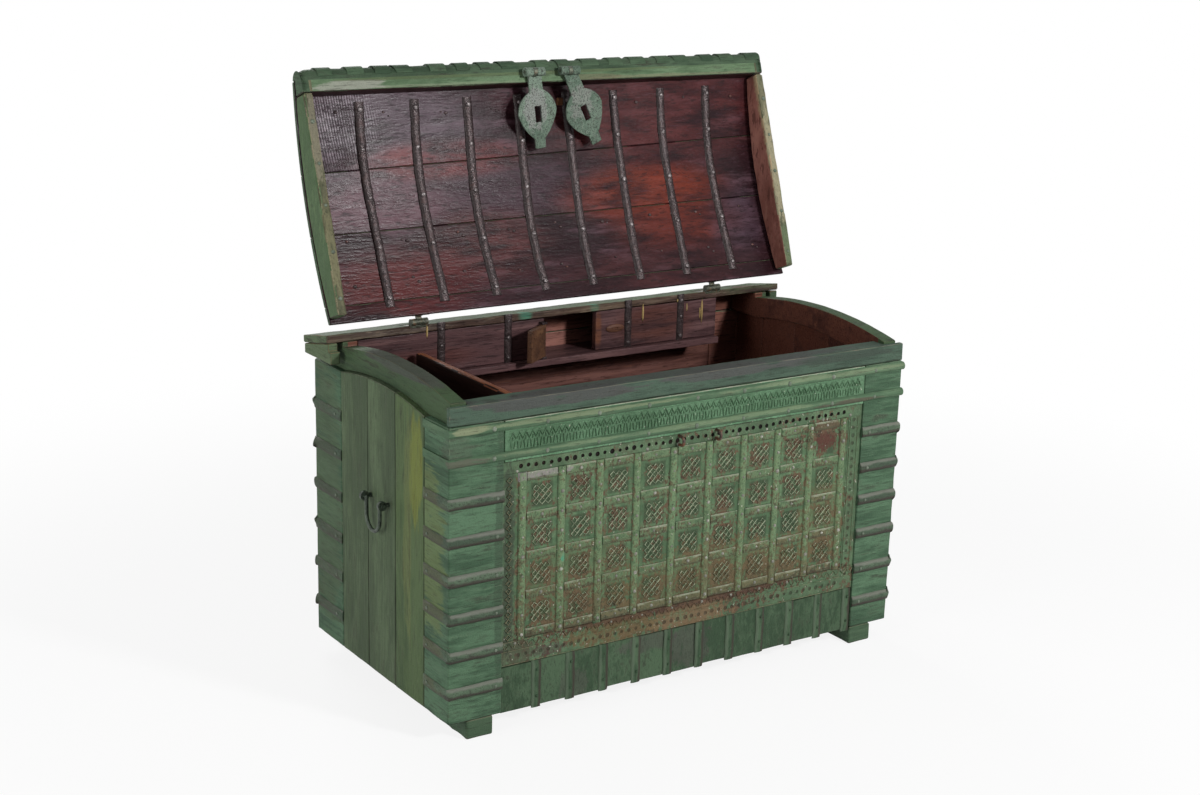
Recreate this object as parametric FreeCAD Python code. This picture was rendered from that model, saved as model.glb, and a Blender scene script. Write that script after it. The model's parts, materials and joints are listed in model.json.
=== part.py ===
import FreeCAD, Part
import math
import os

# A wooden storage chest with a barrel lid, standing on the floor at height 0 with its lid open.
# Sizes are in millimetres. The front faces -Y, the left side faces -X, and X is measured from the middle.
# Depths are worked out from the middle of the body, and every piece is moved to the origin when it is written.

# Body
body_width = 1250.0
body_depth = 650.0
wall_thickness = 30.0
origin_setback = 12.0

# Feet
foot_width = 68.0
foot_depth = 150.0
foot_height = 46.0
foot_side_inset = 47.0
foot_end_inset = 2.0

# Corner posts
left_post_width = 134.0
right_post_width = 116.0
rear_post_width = 120.0
front_post_side = 111.0
rear_post_side = 140.0
rear_post_rise = 7.0

# Front, from the ground up
skirt_drop = 7.0
skirt_height = 113.0
panel_height = 468.0
frieze_height = 95.0
front_rail_height = 43.5
front_rail_depth = 53.0
front_rail_lap = 15.0
skirt_recess = 4.0
panel_recess = 8.0

# Half-round bands across the front
band_height = 19.0
band_thickness = 7.0
lower_band_rise = 17.0
upper_band_drop = 13.0

# Embossed panel
sheet_thickness = 1.5
border_thickness = 2.5
left_border_width = 32.0
right_border_width = 39.0
top_border_height = 28.0
bottom_border_height = 58.0
rib_count = 10
rib_width = 22.0
rib_thickness = 6.0
rib_margin = 17.0
strap_row_count = 5
strap_row_height = 20.0
strap_row_thickness = 2.5
strap_row_margin = 11.0

# Upright straps on the skirt
skirt_strap_count = 11
skirt_strap_width = 14.0
skirt_strap_thickness = 3.5
skirt_strap_left_margin = 91.0
skirt_strap_right_margin = 14.0

# Straps round the corner posts
corner_strap_count = 6
corner_strap_height = 22.0
corner_strap_thickness = 3.0
front_strap_rise = 60.0
front_strap_pitch = 86.0
rear_strap_rise = 65.0
rear_strap_pitch = 99.0

# Sides
side_plank_count = 3
plank_arch_rise = 24.0
side_rail_setback = 12.0
side_rail_thickness = 38.0
arch_radius = 1250.0
arch_setback = 295.0
arch_rise = 80.0

# Floor and back
floor_board_count = 3
floor_thickness = 20.0
floor_rise = 14.0
back_plank_height = 354.0

# Fixed deck behind the lid
deck_depth = 128.0
deck_overhang = 28.0
deck_step = 11.5
deck_fall = 24.5
deck_thickness = 20.0
cheek_depth = 142.0
cheek_thickness = 25.0
cheek_rise = 16.0
cheek_clearance = 6.0

# Rear till under the deck
till_panel_thickness = 18.0
till_height = 119.5
till_floor_thickness = 18.0
till_ledge = 17.0
till_opening_left = -72.0
till_opening_right = 78.0
till_right = 450.0
till_strap_width = 22.0
till_strap_thickness = 3.0
till_strap_positions = (-357.0, -174.0, 175.0, 336.0)
till_door_width = 83.0
till_door_height = 81.0
till_door_thickness = 14.0
till_door_opening = 145.0
till_eye_width = 14.0
till_eye_height = 5.0
till_pintle_radius = 2.5
till_pintle_length = 4.0

# Side till at the left end
side_till_width = 159.0
side_till_thickness = 22.0
side_till_height = 185.0
side_till_drop = 13.5

# Hinges, each midway between two outer straps of the lid
hinge_bays = (2, 14)
hinge_setback = 6.0
hinge_width = 44.0
hinge_recess = 6.0
hinge_recess_play = 1.0
hinge_leaf_thickness = 4.0
hinge_leaf_length = 58.0
knuckle_radius = 8.5
lid_knuckle_radius = 8.0
lid_knuckle_width = 14.5
knuckle_gap = 0.5
hinge_pin_radius = 3.0
running_clearance = 0.06

# Lid
lid_opening = 110.9
lid_clearance = 4.0
lid_board_thickness = 13.0
lid_cheek_thickness = 24.0
lid_side_clearance = 3.0
lid_rear_gap = 6.5
lid_cheek_gap = 5.0
lid_rail_thickness = 36.0
lid_rail_clearance = 4.0
lid_nose_depth = 22.0
rim_rise = 1.0
rim_slope_rise = 16.0
lid_seam_setbacks = ((40.5, 40.5), (205.5, 215.5), (348.0, 374.0))
inner_strap_count = 8
inner_strap_margin = 158.0
inner_strap_width = 22.0
inner_strap_thickness = 6.0
inner_strap_front_gap = 17.0
inner_strap_rear_gap = 25.5
outer_strap_count = 18
outer_strap_left_margin = 60.5
outer_strap_right_margin = 36.5
outer_strap_width = 16.0
outer_strap_thickness = 4.0
outer_strap_end = 4.0

# Hasps and their eyes under the rim of the lid
hasp_positions = (-50.0, 50.0)
hasp_leans = (6.5, 25.0)
hasp_drops = (0.0, 12.0)
hasp_pivot_drop = 14.0
hasp_pivot_setback = 13.0
hasp_thickness = 5.0
hasp_barrel_radius = 11.0
hasp_barrel_length = 54.0
hasp_neck_width = 38.0
hasp_neck_end = 46.0
hasp_width = 108.0
hasp_belly = 97.0
hasp_waist_width = 26.0
hasp_waist = 161.0
hasp_length = 184.0
hasp_shoulder_out = 0.72
hasp_shoulder_down = 0.42
hasp_flank_out = 0.68
hasp_flank_down = 0.52
hasp_slot_width = 20.0
hasp_slot_top = 81.0
hasp_slot_bottom = 123.0
hasp_eye_width = 10.0
hasp_eye_gap = 0.6
hasp_shank_front = 2.0
hasp_shank_rear = 8.0
hasp_pin_radius = 4.0

# Lock staples on the front
staple_positions = (-32.0, 72.0)
staple_drop = 14.0
staple_radius = 10.0
staple_rod_radius = 3.5
staple_leg = 10.0

# Drop handles on the sides
handle_seam_offset = 60.0
handle_eye_drop = 245.0
handle_eye_spread = 86.0
handle_eye_radius = 11.0
handle_eye_width = 8.0
handle_eye_reach = 17.0
handle_post_radius = 5.0
handle_leg_spread = 64.0
handle_drop = 70.0
handle_rod_radius = 4.5
handle_play = 0.3
handle_stub_reach = 5.0

# Heights worked out from the sizes
skirt_bottom = foot_height - skirt_drop
skirt_top = skirt_bottom + skirt_height
panel_top = skirt_top + panel_height
front_rail_bottom = panel_top + frieze_height
front_rail_top = front_rail_bottom + front_rail_height
rear_post_top = front_rail_bottom + rear_post_rise
plank_arch_top = front_rail_bottom + plank_arch_rise
arch_top = front_rail_bottom + arch_rise
deck_front_top = arch_top + deck_step
deck_back_top = deck_front_top - deck_fall
cheek_bottom = rear_post_top + cheek_rise
floor_bottom = foot_height + floor_rise
floor_top = floor_bottom + floor_thickness
back_plank_seam = foot_height + back_plank_height
till_bottom = deck_front_top - till_height
till_floor_bottom = till_bottom - till_floor_thickness
side_till_top = front_rail_top - side_till_drop
side_till_bottom = side_till_top - side_till_height
rim_front_height = front_rail_bottom + rim_rise
rim_rear_height = rim_front_height + rim_slope_rise
staple_middle = panel_top - staple_drop
handle_eye_height = front_rail_bottom - handle_eye_drop

# Places worked out from the sizes
half_width = body_width / 2
front = -body_depth / 2
back = body_depth / 2
arch_middle_y = front + arch_setback
inner_x = half_width - wall_thickness
inner_front = front + wall_thickness
inner_back = back - wall_thickness
panel_left = -half_width + left_post_width
panel_right = half_width - right_post_width
panel_face = front + panel_recess
border_face = panel_face - border_thickness
sheet_face = panel_face - sheet_thickness
sheet_left = panel_left + left_border_width
sheet_right = panel_right - right_border_width
sheet_bottom = skirt_top + bottom_border_height
sheet_top = panel_top - top_border_height
plank_front = front + front_post_side
plank_rear = back - rear_post_side
plank_pitch = (plank_rear - plank_front) / side_plank_count
handle_middle_y = plank_rear - plank_pitch - handle_seam_offset
side_rail_outer = half_width - side_rail_setback
side_rail_inner = side_rail_outer - side_rail_thickness
front_rail_back = front + front_rail_depth
front_rail_step = front + front_rail_lap
deck_front = back - deck_depth
deck_half_width = half_width + deck_overhang
cheek_front = back - cheek_depth
till_panel_back = deck_front + till_panel_thickness
till_floor_front = deck_front - till_ledge
side_till_right = -inner_x + side_till_width
lid_inner_x = half_width + lid_side_clearance
lid_half_width = lid_inner_x + lid_cheek_thickness
lid_rear = deck_front - lid_rear_gap
lid_cheek_rear = cheek_front - lid_cheek_gap
lid_rail_back = front - lid_rail_clearance
lid_front = lid_rail_back - lid_rail_thickness
lid_outer_offset = lid_clearance + lid_board_thickness
sides = {"left": -1, "right": 1}


def deck_top(y):
    """Height of the sloping deck's top face at a depth."""
    slope = (deck_back_top - deck_front_top) / deck_depth
    return deck_front_top + slope * (y - deck_front)


def deck_underside(y):
    """Height of the sloping deck's lower face at a depth."""
    return deck_top(y) - deck_thickness


def arch_height(y, offset=0.0):
    """Height of the barrel curve at a depth, for a surface that lies an offset outside the side rails."""
    radius = arch_radius + offset
    return arch_top - arch_radius + math.sqrt(radius ** 2 - (y - arch_middle_y) ** 2)


def rim_height(y):
    """Height of the closed lid's straight lower edge at a depth."""
    share = (y - lid_front) / (lid_cheek_rear - lid_front)
    return rim_front_height + share * (rim_rear_height - rim_front_height)


def spread(first, last, count):
    """Places spread evenly from the first to the last."""
    pitch = (last - first) / (count - 1)
    return [first + number * pitch for number in range(count)]


outer_strap_places = spread(
    outer_strap_left_margin - lid_half_width, lid_half_width - outer_strap_right_margin, outer_strap_count)
hinge_places = [(outer_strap_places[bay] + outer_strap_places[bay + 1]) / 2 for bay in hinge_bays]
hinge_y = deck_front + hinge_setback
hinge_z = deck_top(hinge_y) - hinge_recess + hinge_leaf_thickness + knuckle_radius


def box(x_low, x_high, y_low, y_high, z_low, z_high):
    """A block between two corners."""
    corner = FreeCAD.Vector(x_low, y_low, z_low)
    return Part.makeBox(x_high - x_low, y_high - y_low, z_high - z_low, corner)


def rod(start, end, radius):
    """A round bar between two points."""
    start = FreeCAD.Vector(*start)
    run = FreeCAD.Vector(*end) - start
    return Part.makeCylinder(radius, run.Length, start, run)


def swept(start, steps, place, run):
    """Close an outline of straight steps and (through, end) arcs, and sweep it into a solid."""
    edges = []
    here = start
    for step in list(steps) + [start]:
        if isinstance(step[0], tuple):
            through, there = step
            edges.append(Part.Arc(place(*here), place(*through), place(*there)).toShape())
        else:
            there = step
            edges.append(Part.LineSegment(place(*here), place(*there)).toShape())
        here = there
    return Part.Face(Part.Wire(edges)).extrude(run)


def along_x(x_low, x_high, start, *steps):
    """Sweep a (y, z) outline across the width."""
    return swept(start, steps, lambda y, z: FreeCAD.Vector(x_low, y, z), FreeCAD.Vector(x_high - x_low, 0, 0))


def along_y(y_low, y_high, start, *steps):
    """Sweep an (x, z) outline along the depth."""
    return swept(start, steps, lambda x, z: FreeCAD.Vector(x, y_low, z), FreeCAD.Vector(0, y_high - y_low, 0))


def along_z(z_low, z_high, start, *steps):
    """Sweep an (x, y) outline upwards."""
    return swept(start, steps, lambda x, y: FreeCAD.Vector(x, y, z_low), FreeCAD.Vector(0, 0, z_high - z_low))


def arch_arc(y_start, y_end, offset):
    """The (through, end) arc of the barrel curve between two depths."""
    middle = (y_start + y_end) / 2
    return (middle, arch_height(middle, offset)), (y_end, arch_height(y_end, offset))


def opened(shape):
    """Turn a piece of the closed lid to the open pose."""
    return shape.rotated(FreeCAD.Vector(0, hinge_y, hinge_z), FreeCAD.Vector(1, 0, 0), -lid_opening)


def to_side(shape, side):
    """Mirror a piece made for the right side to the left where it is wanted there."""
    if sides[side] < 0:
        return shape.mirror(FreeCAD.Vector(), FreeCAD.Vector(1, 0, 0))
    return shape


def write(node, *pieces):
    """Move the pieces of a node to the origin and write them to its file."""
    placed = []
    for piece in pieces:
        placed.append(piece.translated(FreeCAD.Vector(0, -origin_setback, 0)))
    shape = placed[0] if len(placed) == 1 else Part.makeCompound(placed)
    shape.exportStep("parts/" + node + ".step")


def make_feet():
    """Four blocks under the corners, set in from the sides."""
    feet = []
    for sign in sides.values():
        outer = sign * (half_width - foot_side_inset)
        inner = outer - sign * foot_width
        x_low, x_high = sorted((outer, inner))
        for end in (front + foot_end_inset, back - foot_end_inset - foot_depth):
            feet.append(box(x_low, x_high, end, end + foot_depth, 0.0, foot_height))
    write("feet", *feet)


def make_posts():
    """Corner posts of L section, the front pair under the front rail and the rear pair under the side rails."""
    widths = {"left": left_post_width, "right": right_post_width}
    for side in sides:
        face = box(half_width - widths[side], half_width, front, inner_front, foot_height, front_rail_bottom)
        flank = box(inner_x, half_width, front, plank_front, foot_height, front_rail_bottom)
        write(side + "_front_post", to_side(face.fuse(flank).removeSplitter(), side))
        face = box(half_width - rear_post_width, half_width, inner_back, back, foot_height, rear_post_top)
        flank = box(inner_x, half_width, plank_rear, back, foot_height, rear_post_top)
        write(side + "_rear_post", to_side(face.fuse(flank).removeSplitter(), side))


def plank_arch_through():
    """A point at the crown of the planks' arched top."""
    return (plank_front + plank_rear) / 2, plank_arch_top


def make_side_planks():
    """Upright planks between the posts, cut to the arch under the side rail."""
    for side in sides:
        under_arch = along_x(
            inner_x, half_width,
            (plank_front, foot_height), (plank_rear, foot_height), (plank_rear, rear_post_top),
            (plank_arch_through(), (plank_front, front_rail_bottom)))
        for number in range(side_plank_count):
            start = plank_front + number * plank_pitch
            slot = box(inner_x, half_width, start, start + plank_pitch, 0.0, arch_top)
            plank = under_arch.common(slot).Solids[0]
            write("%s_side_plank_%d" % (side, number + 1), to_side(plank, side))


def make_side_rails():
    """Arched rails over the planks, which the lid closes round and which carry the ends of the deck."""
    for side in sides:
        rail = along_x(
            side_rail_inner, side_rail_outer,
            (front_rail_step, front_rail_bottom), (plank_front, front_rail_bottom),
            (plank_arch_through(), (plank_rear, rear_post_top)), (back, rear_post_top),
            (back, deck_underside(back)), (deck_front, deck_underside(deck_front)),
            (deck_front, arch_height(deck_front)), arch_arc(deck_front, front_rail_step, 0.0))
        write(side + "_side_rail", to_side(rail, side))


def front_rail():
    """The timber along the top of the front, halved at its ends over the side rails."""
    face = box(-half_width, half_width, front, front_rail_step, front_rail_bottom, front_rail_top)
    body = box(-side_rail_inner, side_rail_inner, front, front_rail_back, front_rail_bottom, front_rail_top)
    return face.fuse(body).removeSplitter()


def half_round_band(middle):
    """A half-round bar across the front with flat returns on the sides of the posts."""
    low = middle - band_height / 2
    high = middle + band_height / 2
    reach = half_width + corner_strap_thickness
    bar = along_x(-reach, reach, (front, low), ((front - band_thickness, middle), (front, high)))
    for sign in sides.values():
        x_low, x_high = sorted((sign * half_width, sign * reach))
        bar = bar.fuse(box(x_low, x_high, front, plank_front, low, high))
    return bar.removeSplitter()


def make_front():
    """Front rail, frieze board, panel board, skirt and the bands."""
    write("front_rail", front_rail())
    write("frieze_board", box(panel_left, panel_right, front, inner_front, panel_top, front_rail_bottom))
    write("panel_board", box(panel_left, panel_right, panel_face, inner_front, skirt_top, panel_top))
    write("skirt_board", box(panel_left, panel_right, front + skirt_recess, inner_front, skirt_bottom, skirt_top))
    write("front_bands", half_round_band(panel_top + lower_band_rise),
          half_round_band(front_rail_bottom - upper_band_drop))


def upright_half_round(middle, width, face, thickness, z_low, z_high):
    """A half-round strap standing against a face of the front."""
    left = middle - width / 2
    right = middle + width / 2
    return along_z(z_low, z_high, (left, face), ((middle, face - thickness), (right, face)))


def make_panel_metal():
    """The embossed sheet with its border strips, upright ribs and level straps."""
    write("panel_sheet", box(sheet_left, sheet_right, sheet_face, panel_face, sheet_bottom, sheet_top))
    write(
        "panel_border",
        box(panel_left, sheet_left, border_face, panel_face, skirt_top, panel_top),
        box(sheet_right, panel_right, border_face, panel_face, skirt_top, panel_top),
        box(sheet_left, sheet_right, border_face, panel_face, sheet_top, panel_top),
        box(sheet_left, sheet_right, border_face, panel_face, skirt_top, sheet_bottom))
    ribs = []
    rib_places = spread(sheet_left + rib_margin, sheet_right - rib_margin, rib_count)
    for middle in rib_places:
        ribs.append(upright_half_round(middle, rib_width, sheet_face, rib_thickness, sheet_bottom, sheet_top))
    write("panel_ribs", *ribs)
    rows = spread(sheet_bottom + strap_row_margin, sheet_top - strap_row_margin, strap_row_count)
    straps = []
    for left_rib, right_rib in zip(rib_places, rib_places[1:]):
        left = left_rib + rib_width / 2
        right = right_rib - rib_width / 2
        for row in rows:
            low = row - strap_row_height / 2
            face = sheet_face - strap_row_thickness
            straps.append(box(left, right, face, sheet_face, low, low + strap_row_height))
    write("panel_straps", *straps)


def make_skirt_straps():
    """Upright straps nailed along the skirt."""
    face = front + skirt_recess
    straps = []
    for middle in spread(
            panel_left + skirt_strap_left_margin, panel_right - skirt_strap_right_margin, skirt_strap_count):
        strap = upright_half_round(
            middle, skirt_strap_width, face, skirt_strap_thickness, skirt_bottom, skirt_top)
        straps.append(strap)
    write("skirt_straps", *straps)


def make_corner_straps():
    """Iron straps bent round the corner posts."""
    widths = {"left": left_post_width, "right": right_post_width}
    skin = half_width + corner_strap_thickness
    straps = []
    for side in sides:
        for number in range(corner_strap_count):
            low = foot_height + front_strap_rise + number * front_strap_pitch
            face = front - corner_strap_thickness
            strap = along_z(
                low, low + corner_strap_height,
                (half_width - widths[side], face), (skin, face), (skin, plank_front),
                (half_width, plank_front), (half_width, front), (half_width - widths[side], front))
            straps.append(to_side(strap, side))
            low = foot_height + rear_strap_rise + number * rear_strap_pitch
            face = back + corner_strap_thickness
            strap = along_z(
                low, low + corner_strap_height,
                (half_width - rear_post_width, face), (skin, face), (skin, plank_rear),
                (half_width, plank_rear), (half_width, back), (half_width - rear_post_width, back))
            straps.append(to_side(strap, side))
    write("corner_straps", *straps)


def make_floor_and_back():
    """Floor boards along the width, back planks between the rear posts and the rail over them."""
    pitch = (inner_back - inner_front) / floor_board_count
    boards = []
    for number in range(floor_board_count):
        start = inner_front + number * pitch
        boards.append(box(-inner_x, inner_x, start, start + pitch, floor_bottom, floor_top))
    write("floor_boards", *boards)
    reach = half_width - rear_post_width
    write("back_plank_1", box(-reach, reach, inner_back, back, foot_height, back_plank_seam))
    write("back_plank_2", box(-reach, reach, inner_back, back, back_plank_seam, rear_post_top))
    rail = along_x(
        -side_rail_inner, side_rail_inner,
        (inner_back, rear_post_top), (back, rear_post_top),
        (back, deck_underside(back)), (inner_back, deck_underside(inner_back)))
    write("rear_rail", rail)


def hinge_recess_cut(middle):
    """The space let into the deck for one hinge."""
    reach = hinge_width / 2 + hinge_recess_play
    end = hinge_y + hinge_leaf_length + hinge_recess_play
    return along_x(
        middle - reach, middle + reach,
        (deck_front - hinge_recess, deck_top(deck_front - hinge_recess) - hinge_recess),
        (end, deck_top(end) - hinge_recess), (end, deck_top(end) + hinge_recess),
        (deck_front - hinge_recess, deck_top(deck_front) + hinge_recess))


def make_deck():
    """The fixed board behind the lid, and the cheeks under its ends."""
    deck = along_x(
        -deck_half_width, deck_half_width,
        (deck_front, deck_underside(deck_front)), (back, deck_underside(back)),
        (back, deck_top(back)), (deck_front, deck_top(deck_front)))
    for middle in hinge_places:
        deck = deck.cut(hinge_recess_cut(middle))
    write("rear_deck", deck.Solids[0])
    step = arch_height(deck_front) - cheek_clearance
    for side in sides:
        cheek = along_x(
            half_width, half_width + cheek_thickness,
            (cheek_front, cheek_bottom), (back, cheek_bottom), (back, deck_underside(back)),
            (deck_front, deck_underside(deck_front)), (deck_front, step), (cheek_front, step))
        write(side + "_rear_cheek", to_side(cheek, side))


def till_panel(x_low, x_high):
    """A front panel of the rear till, under the deck's front edge."""
    return along_x(
        x_low, x_high,
        (deck_front, till_bottom), (till_panel_back, till_bottom),
        (till_panel_back, deck_underside(till_panel_back)), (deck_front, deck_underside(deck_front)))


def make_rear_till():
    """The till hung under the deck along the back."""
    write("till_left_panel", till_panel(-side_rail_inner, till_opening_left))
    write("till_right_panel", till_panel(till_opening_right, till_right))
    write("till_floor", box(-inner_x, till_right, till_floor_front, inner_back, till_floor_bottom, till_bottom))
    end = along_x(
        till_right - till_panel_thickness, till_right,
        (till_panel_back, till_bottom), (inner_back, till_bottom),
        (inner_back, deck_underside(inner_back)), (till_panel_back, deck_underside(till_panel_back)))
    write("till_end", end)
    straps = []
    for middle in till_strap_positions:
        left = middle - till_strap_width / 2
        face = deck_front - till_strap_thickness
        straps.append(box(left, left + till_strap_width, face, deck_front, till_bottom, deck_front_top))
    write("till_straps", *straps)


till_pivot_x = till_opening_left - till_eye_width / 2
till_pivot_y = deck_front - till_door_thickness / 2 - knuckle_gap
till_door_bottom = till_bottom + till_eye_height + knuckle_gap
till_door_top = till_door_bottom + till_door_height


def make_till_door():
    """The small door that swings in front of the till's opening, and its two eyes."""
    half = till_door_thickness / 2
    door = along_z(
        till_door_bottom, till_door_top,
        (till_pivot_x, till_pivot_y + half),
        ((till_pivot_x - half, till_pivot_y), (till_pivot_x, till_pivot_y - half)),
        (till_pivot_x + till_door_width, till_pivot_y - half),
        (till_pivot_x + till_door_width, till_pivot_y + half))
    pintle = rod(
        (till_pivot_x, till_pivot_y, till_door_bottom - till_pintle_length),
        (till_pivot_x, till_pivot_y, till_door_top + till_pintle_length), till_pintle_radius)
    door = door.fuse(pintle).removeSplitter()
    pivot = FreeCAD.Vector(till_pivot_x, till_pivot_y, 0)
    write("till_door", door.rotated(pivot, FreeCAD.Vector(0, 0, 1), -till_door_opening))
    bore = rod(
        (till_pivot_x, till_pivot_y, till_bottom), (till_pivot_x, till_pivot_y, deck_front_top),
        till_pintle_radius + running_clearance)
    eyes = []
    for low in (till_bottom, till_door_top + knuckle_gap):
        eye = box(
            till_pivot_x - till_eye_width / 2, till_pivot_x + till_eye_width / 2,
            till_pivot_y - till_door_thickness / 2, deck_front, low, low + till_eye_height)
        eyes.append(eye.cut(bore))
    write("till_door_eyes", *eyes)


def make_side_till():
    """The partition and floor of the till at the left end."""
    left = side_till_right
    right = side_till_right + side_till_thickness
    partition = along_x(
        left, right,
        (inner_front, side_till_bottom), (till_floor_front, side_till_bottom), (till_floor_front, side_till_top),
        (front_rail_back, side_till_top), (front_rail_back, front_rail_bottom), (inner_front, front_rail_bottom))
    write("side_till_partition", partition)
    floor_height = side_till_bottom + till_floor_thickness
    write("side_till_floor", box(-inner_x, left, inner_front, till_floor_front, side_till_bottom, floor_height))


def deck_leaf(middle):
    """The fixed leaf of a hinge, let into the deck, with its two outer knuckles."""
    reach = hinge_width / 2
    end = hinge_y + hinge_leaf_length
    seat = deck_top(hinge_y) - hinge_recess
    end_seat = deck_top(end) - hinge_recess
    leaf = along_x(
        middle - reach, middle + reach,
        (hinge_y, seat), (end, end_seat),
        (end, end_seat + hinge_leaf_thickness), (hinge_y, seat + hinge_leaf_thickness))
    inner = lid_knuckle_width / 2 + knuckle_gap
    for low, high in ((-reach, -inner), (inner, reach)):
        knuckle = rod((middle + low, hinge_y, hinge_z), (middle + high, hinge_y, hinge_z), knuckle_radius)
        web = along_x(
            middle + low, middle + high,
            (hinge_y, seat), (hinge_y + knuckle_radius, deck_top(hinge_y + knuckle_radius) - hinge_recess),
            (hinge_y + knuckle_radius, hinge_z), (hinge_y, hinge_z))
        leaf = leaf.fuse([knuckle, web])
    bore = rod((middle - reach, hinge_y, hinge_z), (middle + reach, hinge_y, hinge_z), hinge_pin_radius)
    return leaf.cut(bore).removeSplitter()


def lid_leaf(middle):
    """The lid's leaf of a hinge: a foot on the boards, cranked up to the middle knuckle."""
    reach = hinge_width / 2
    half = lid_knuckle_width / 2
    foot_front = lid_rear - hinge_leaf_length
    top = lid_outer_offset + hinge_leaf_thickness
    crank = lid_rear - hinge_leaf_thickness
    foot = along_x(
        middle - reach, middle + reach,
        (lid_rear, arch_height(lid_rear, lid_outer_offset)), arch_arc(lid_rear, foot_front, lid_outer_offset),
        (foot_front, arch_height(foot_front, top)), arch_arc(foot_front, lid_rear, top))
    riser = box(middle - half, middle + half, crank, lid_rear, arch_height(lid_rear, top), hinge_z)
    arm = box(middle - half, middle + half, crank, hinge_y, hinge_z - hinge_leaf_thickness, hinge_z)
    knuckle = rod((middle - half, hinge_y, hinge_z), (middle + half, hinge_y, hinge_z), lid_knuckle_radius)
    bore = rod(
        (middle - half, hinge_y, hinge_z), (middle + half, hinge_y, hinge_z),
        hinge_pin_radius + running_clearance)
    return foot.fuse([riser, arm, knuckle]).cut(bore).removeSplitter()


def make_hinges():
    """Two butt hinges between the deck and the lid."""
    reach = hinge_width / 2
    leaves = []
    pins = []
    lid_leaves = []
    for middle in hinge_places:
        leaves.append(deck_leaf(middle))
        pins.append(rod((middle - reach, hinge_y, hinge_z), (middle + reach, hinge_y, hinge_z), hinge_pin_radius))
        lid_leaves.append(opened(lid_leaf(middle)))
    write("hinge_deck_leaves", *leaves)
    write("hinge_pins", *pins)
    write("hinge_lid_leaves", *lid_leaves)


def nose_top():
    """Height of the lid boards' upper face where they meet the nose of the front rail."""
    return arch_height(lid_front, lid_outer_offset)


def make_lid_frame():
    """The front rail with its round nose, and the two cheeks."""
    nose_middle = (rim_height(lid_front) + nose_top()) / 2
    rail = along_x(
        -lid_half_width, lid_half_width,
        (lid_rail_back, rim_height(lid_rail_back)), (lid_front, rim_height(lid_front)),
        ((lid_front - lid_nose_depth, nose_middle), (lid_front, nose_top())),
        (lid_front, arch_height(lid_front, lid_clearance)),
        arch_arc(lid_front, lid_rail_back, lid_clearance))
    write("lid_front_rail", opened(rail))
    for side in sides:
        cheek = along_x(
            lid_inner_x, lid_half_width,
            (lid_rail_back, rim_height(lid_rail_back)), (lid_cheek_rear, rim_height(lid_cheek_rear)),
            (lid_cheek_rear, arch_height(lid_cheek_rear, lid_clearance)),
            arch_arc(lid_cheek_rear, lid_rail_back, lid_clearance))
        write("lid_" + side + "_cheek", opened(to_side(cheek, side)))


def curved_strip(x_low, x_high, y_front, y_rear, low_offset, high_offset):
    """A strip of the barrel curve between two depths and two offsets."""
    return along_x(
        x_low, x_high,
        (y_front, arch_height(y_front, low_offset)), arch_arc(y_front, y_rear, low_offset),
        (y_rear, arch_height(y_rear, high_offset)), arch_arc(y_rear, y_front, high_offset))


def make_lid_boards():
    """Four boards bent over the cheeks, with slightly tapered seams between them."""
    shell = curved_strip(-lid_half_width, lid_half_width, lid_front, lid_rear, lid_clearance, lid_outer_offset)
    reach = lid_rear - lid_front
    edges = [(0.0, 0.0)] + list(lid_seam_setbacks) + [(reach, reach)]
    for number, (rear, fore) in enumerate(zip(edges, edges[1:])):
        outline = along_z(
            0.0, 2 * arch_top,
            (-lid_half_width, lid_rear - rear[0]), (lid_half_width, lid_rear - rear[1]),
            (lid_half_width, lid_rear - fore[1]), (-lid_half_width, lid_rear - fore[0]))
        write("lid_board_%d" % (number + 1), opened(shell.common(outline).Solids[0]))


def outer_strap(middle):
    """A strap over the boards and round the nose to the rim."""
    half = outer_strap_width / 2
    rear = lid_rear - outer_strap_end
    top = lid_outer_offset + outer_strap_thickness
    nose_middle = (rim_height(lid_front) + nose_top()) / 2
    toe = lid_front - outer_strap_thickness
    return along_x(
        middle - half, middle + half,
        (rear, arch_height(rear, lid_outer_offset)), arch_arc(rear, lid_front, lid_outer_offset),
        ((lid_front - lid_nose_depth, nose_middle), (lid_front, rim_height(lid_front))),
        (toe, rim_height(lid_front)),
        ((toe - lid_nose_depth, nose_middle), (lid_front, nose_top() + outer_strap_thickness)),
        arch_arc(lid_front, rear, top))


def make_lid_straps():
    """Iron straps inside and outside the lid."""
    half = inner_strap_width / 2
    inner = []
    for middle in spread(
            inner_strap_margin - lid_half_width, lid_half_width - inner_strap_margin, inner_strap_count):
        strap = curved_strip(
            middle - half, middle + half, lid_rail_back + inner_strap_front_gap, lid_rear - inner_strap_rear_gap,
            lid_clearance - inner_strap_thickness, lid_clearance)
        inner.append(opened(strap))
    write("lid_inner_straps", *inner)
    outer = []
    for middle in outer_strap_places:
        outer.append(opened(outer_strap(middle)))
    write("lid_outer_straps", *outer)


hasp_pivot_y = lid_front + hasp_pivot_setback
hasp_pivot_z = rim_height(hasp_pivot_y) - hasp_pivot_drop


def hasp_pivot():
    """The hasps' pivot line in the open pose, as a point at the middle of the width."""
    point = Part.Vertex(0, hasp_pivot_y, hasp_pivot_z)
    return opened(point).Point


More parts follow.
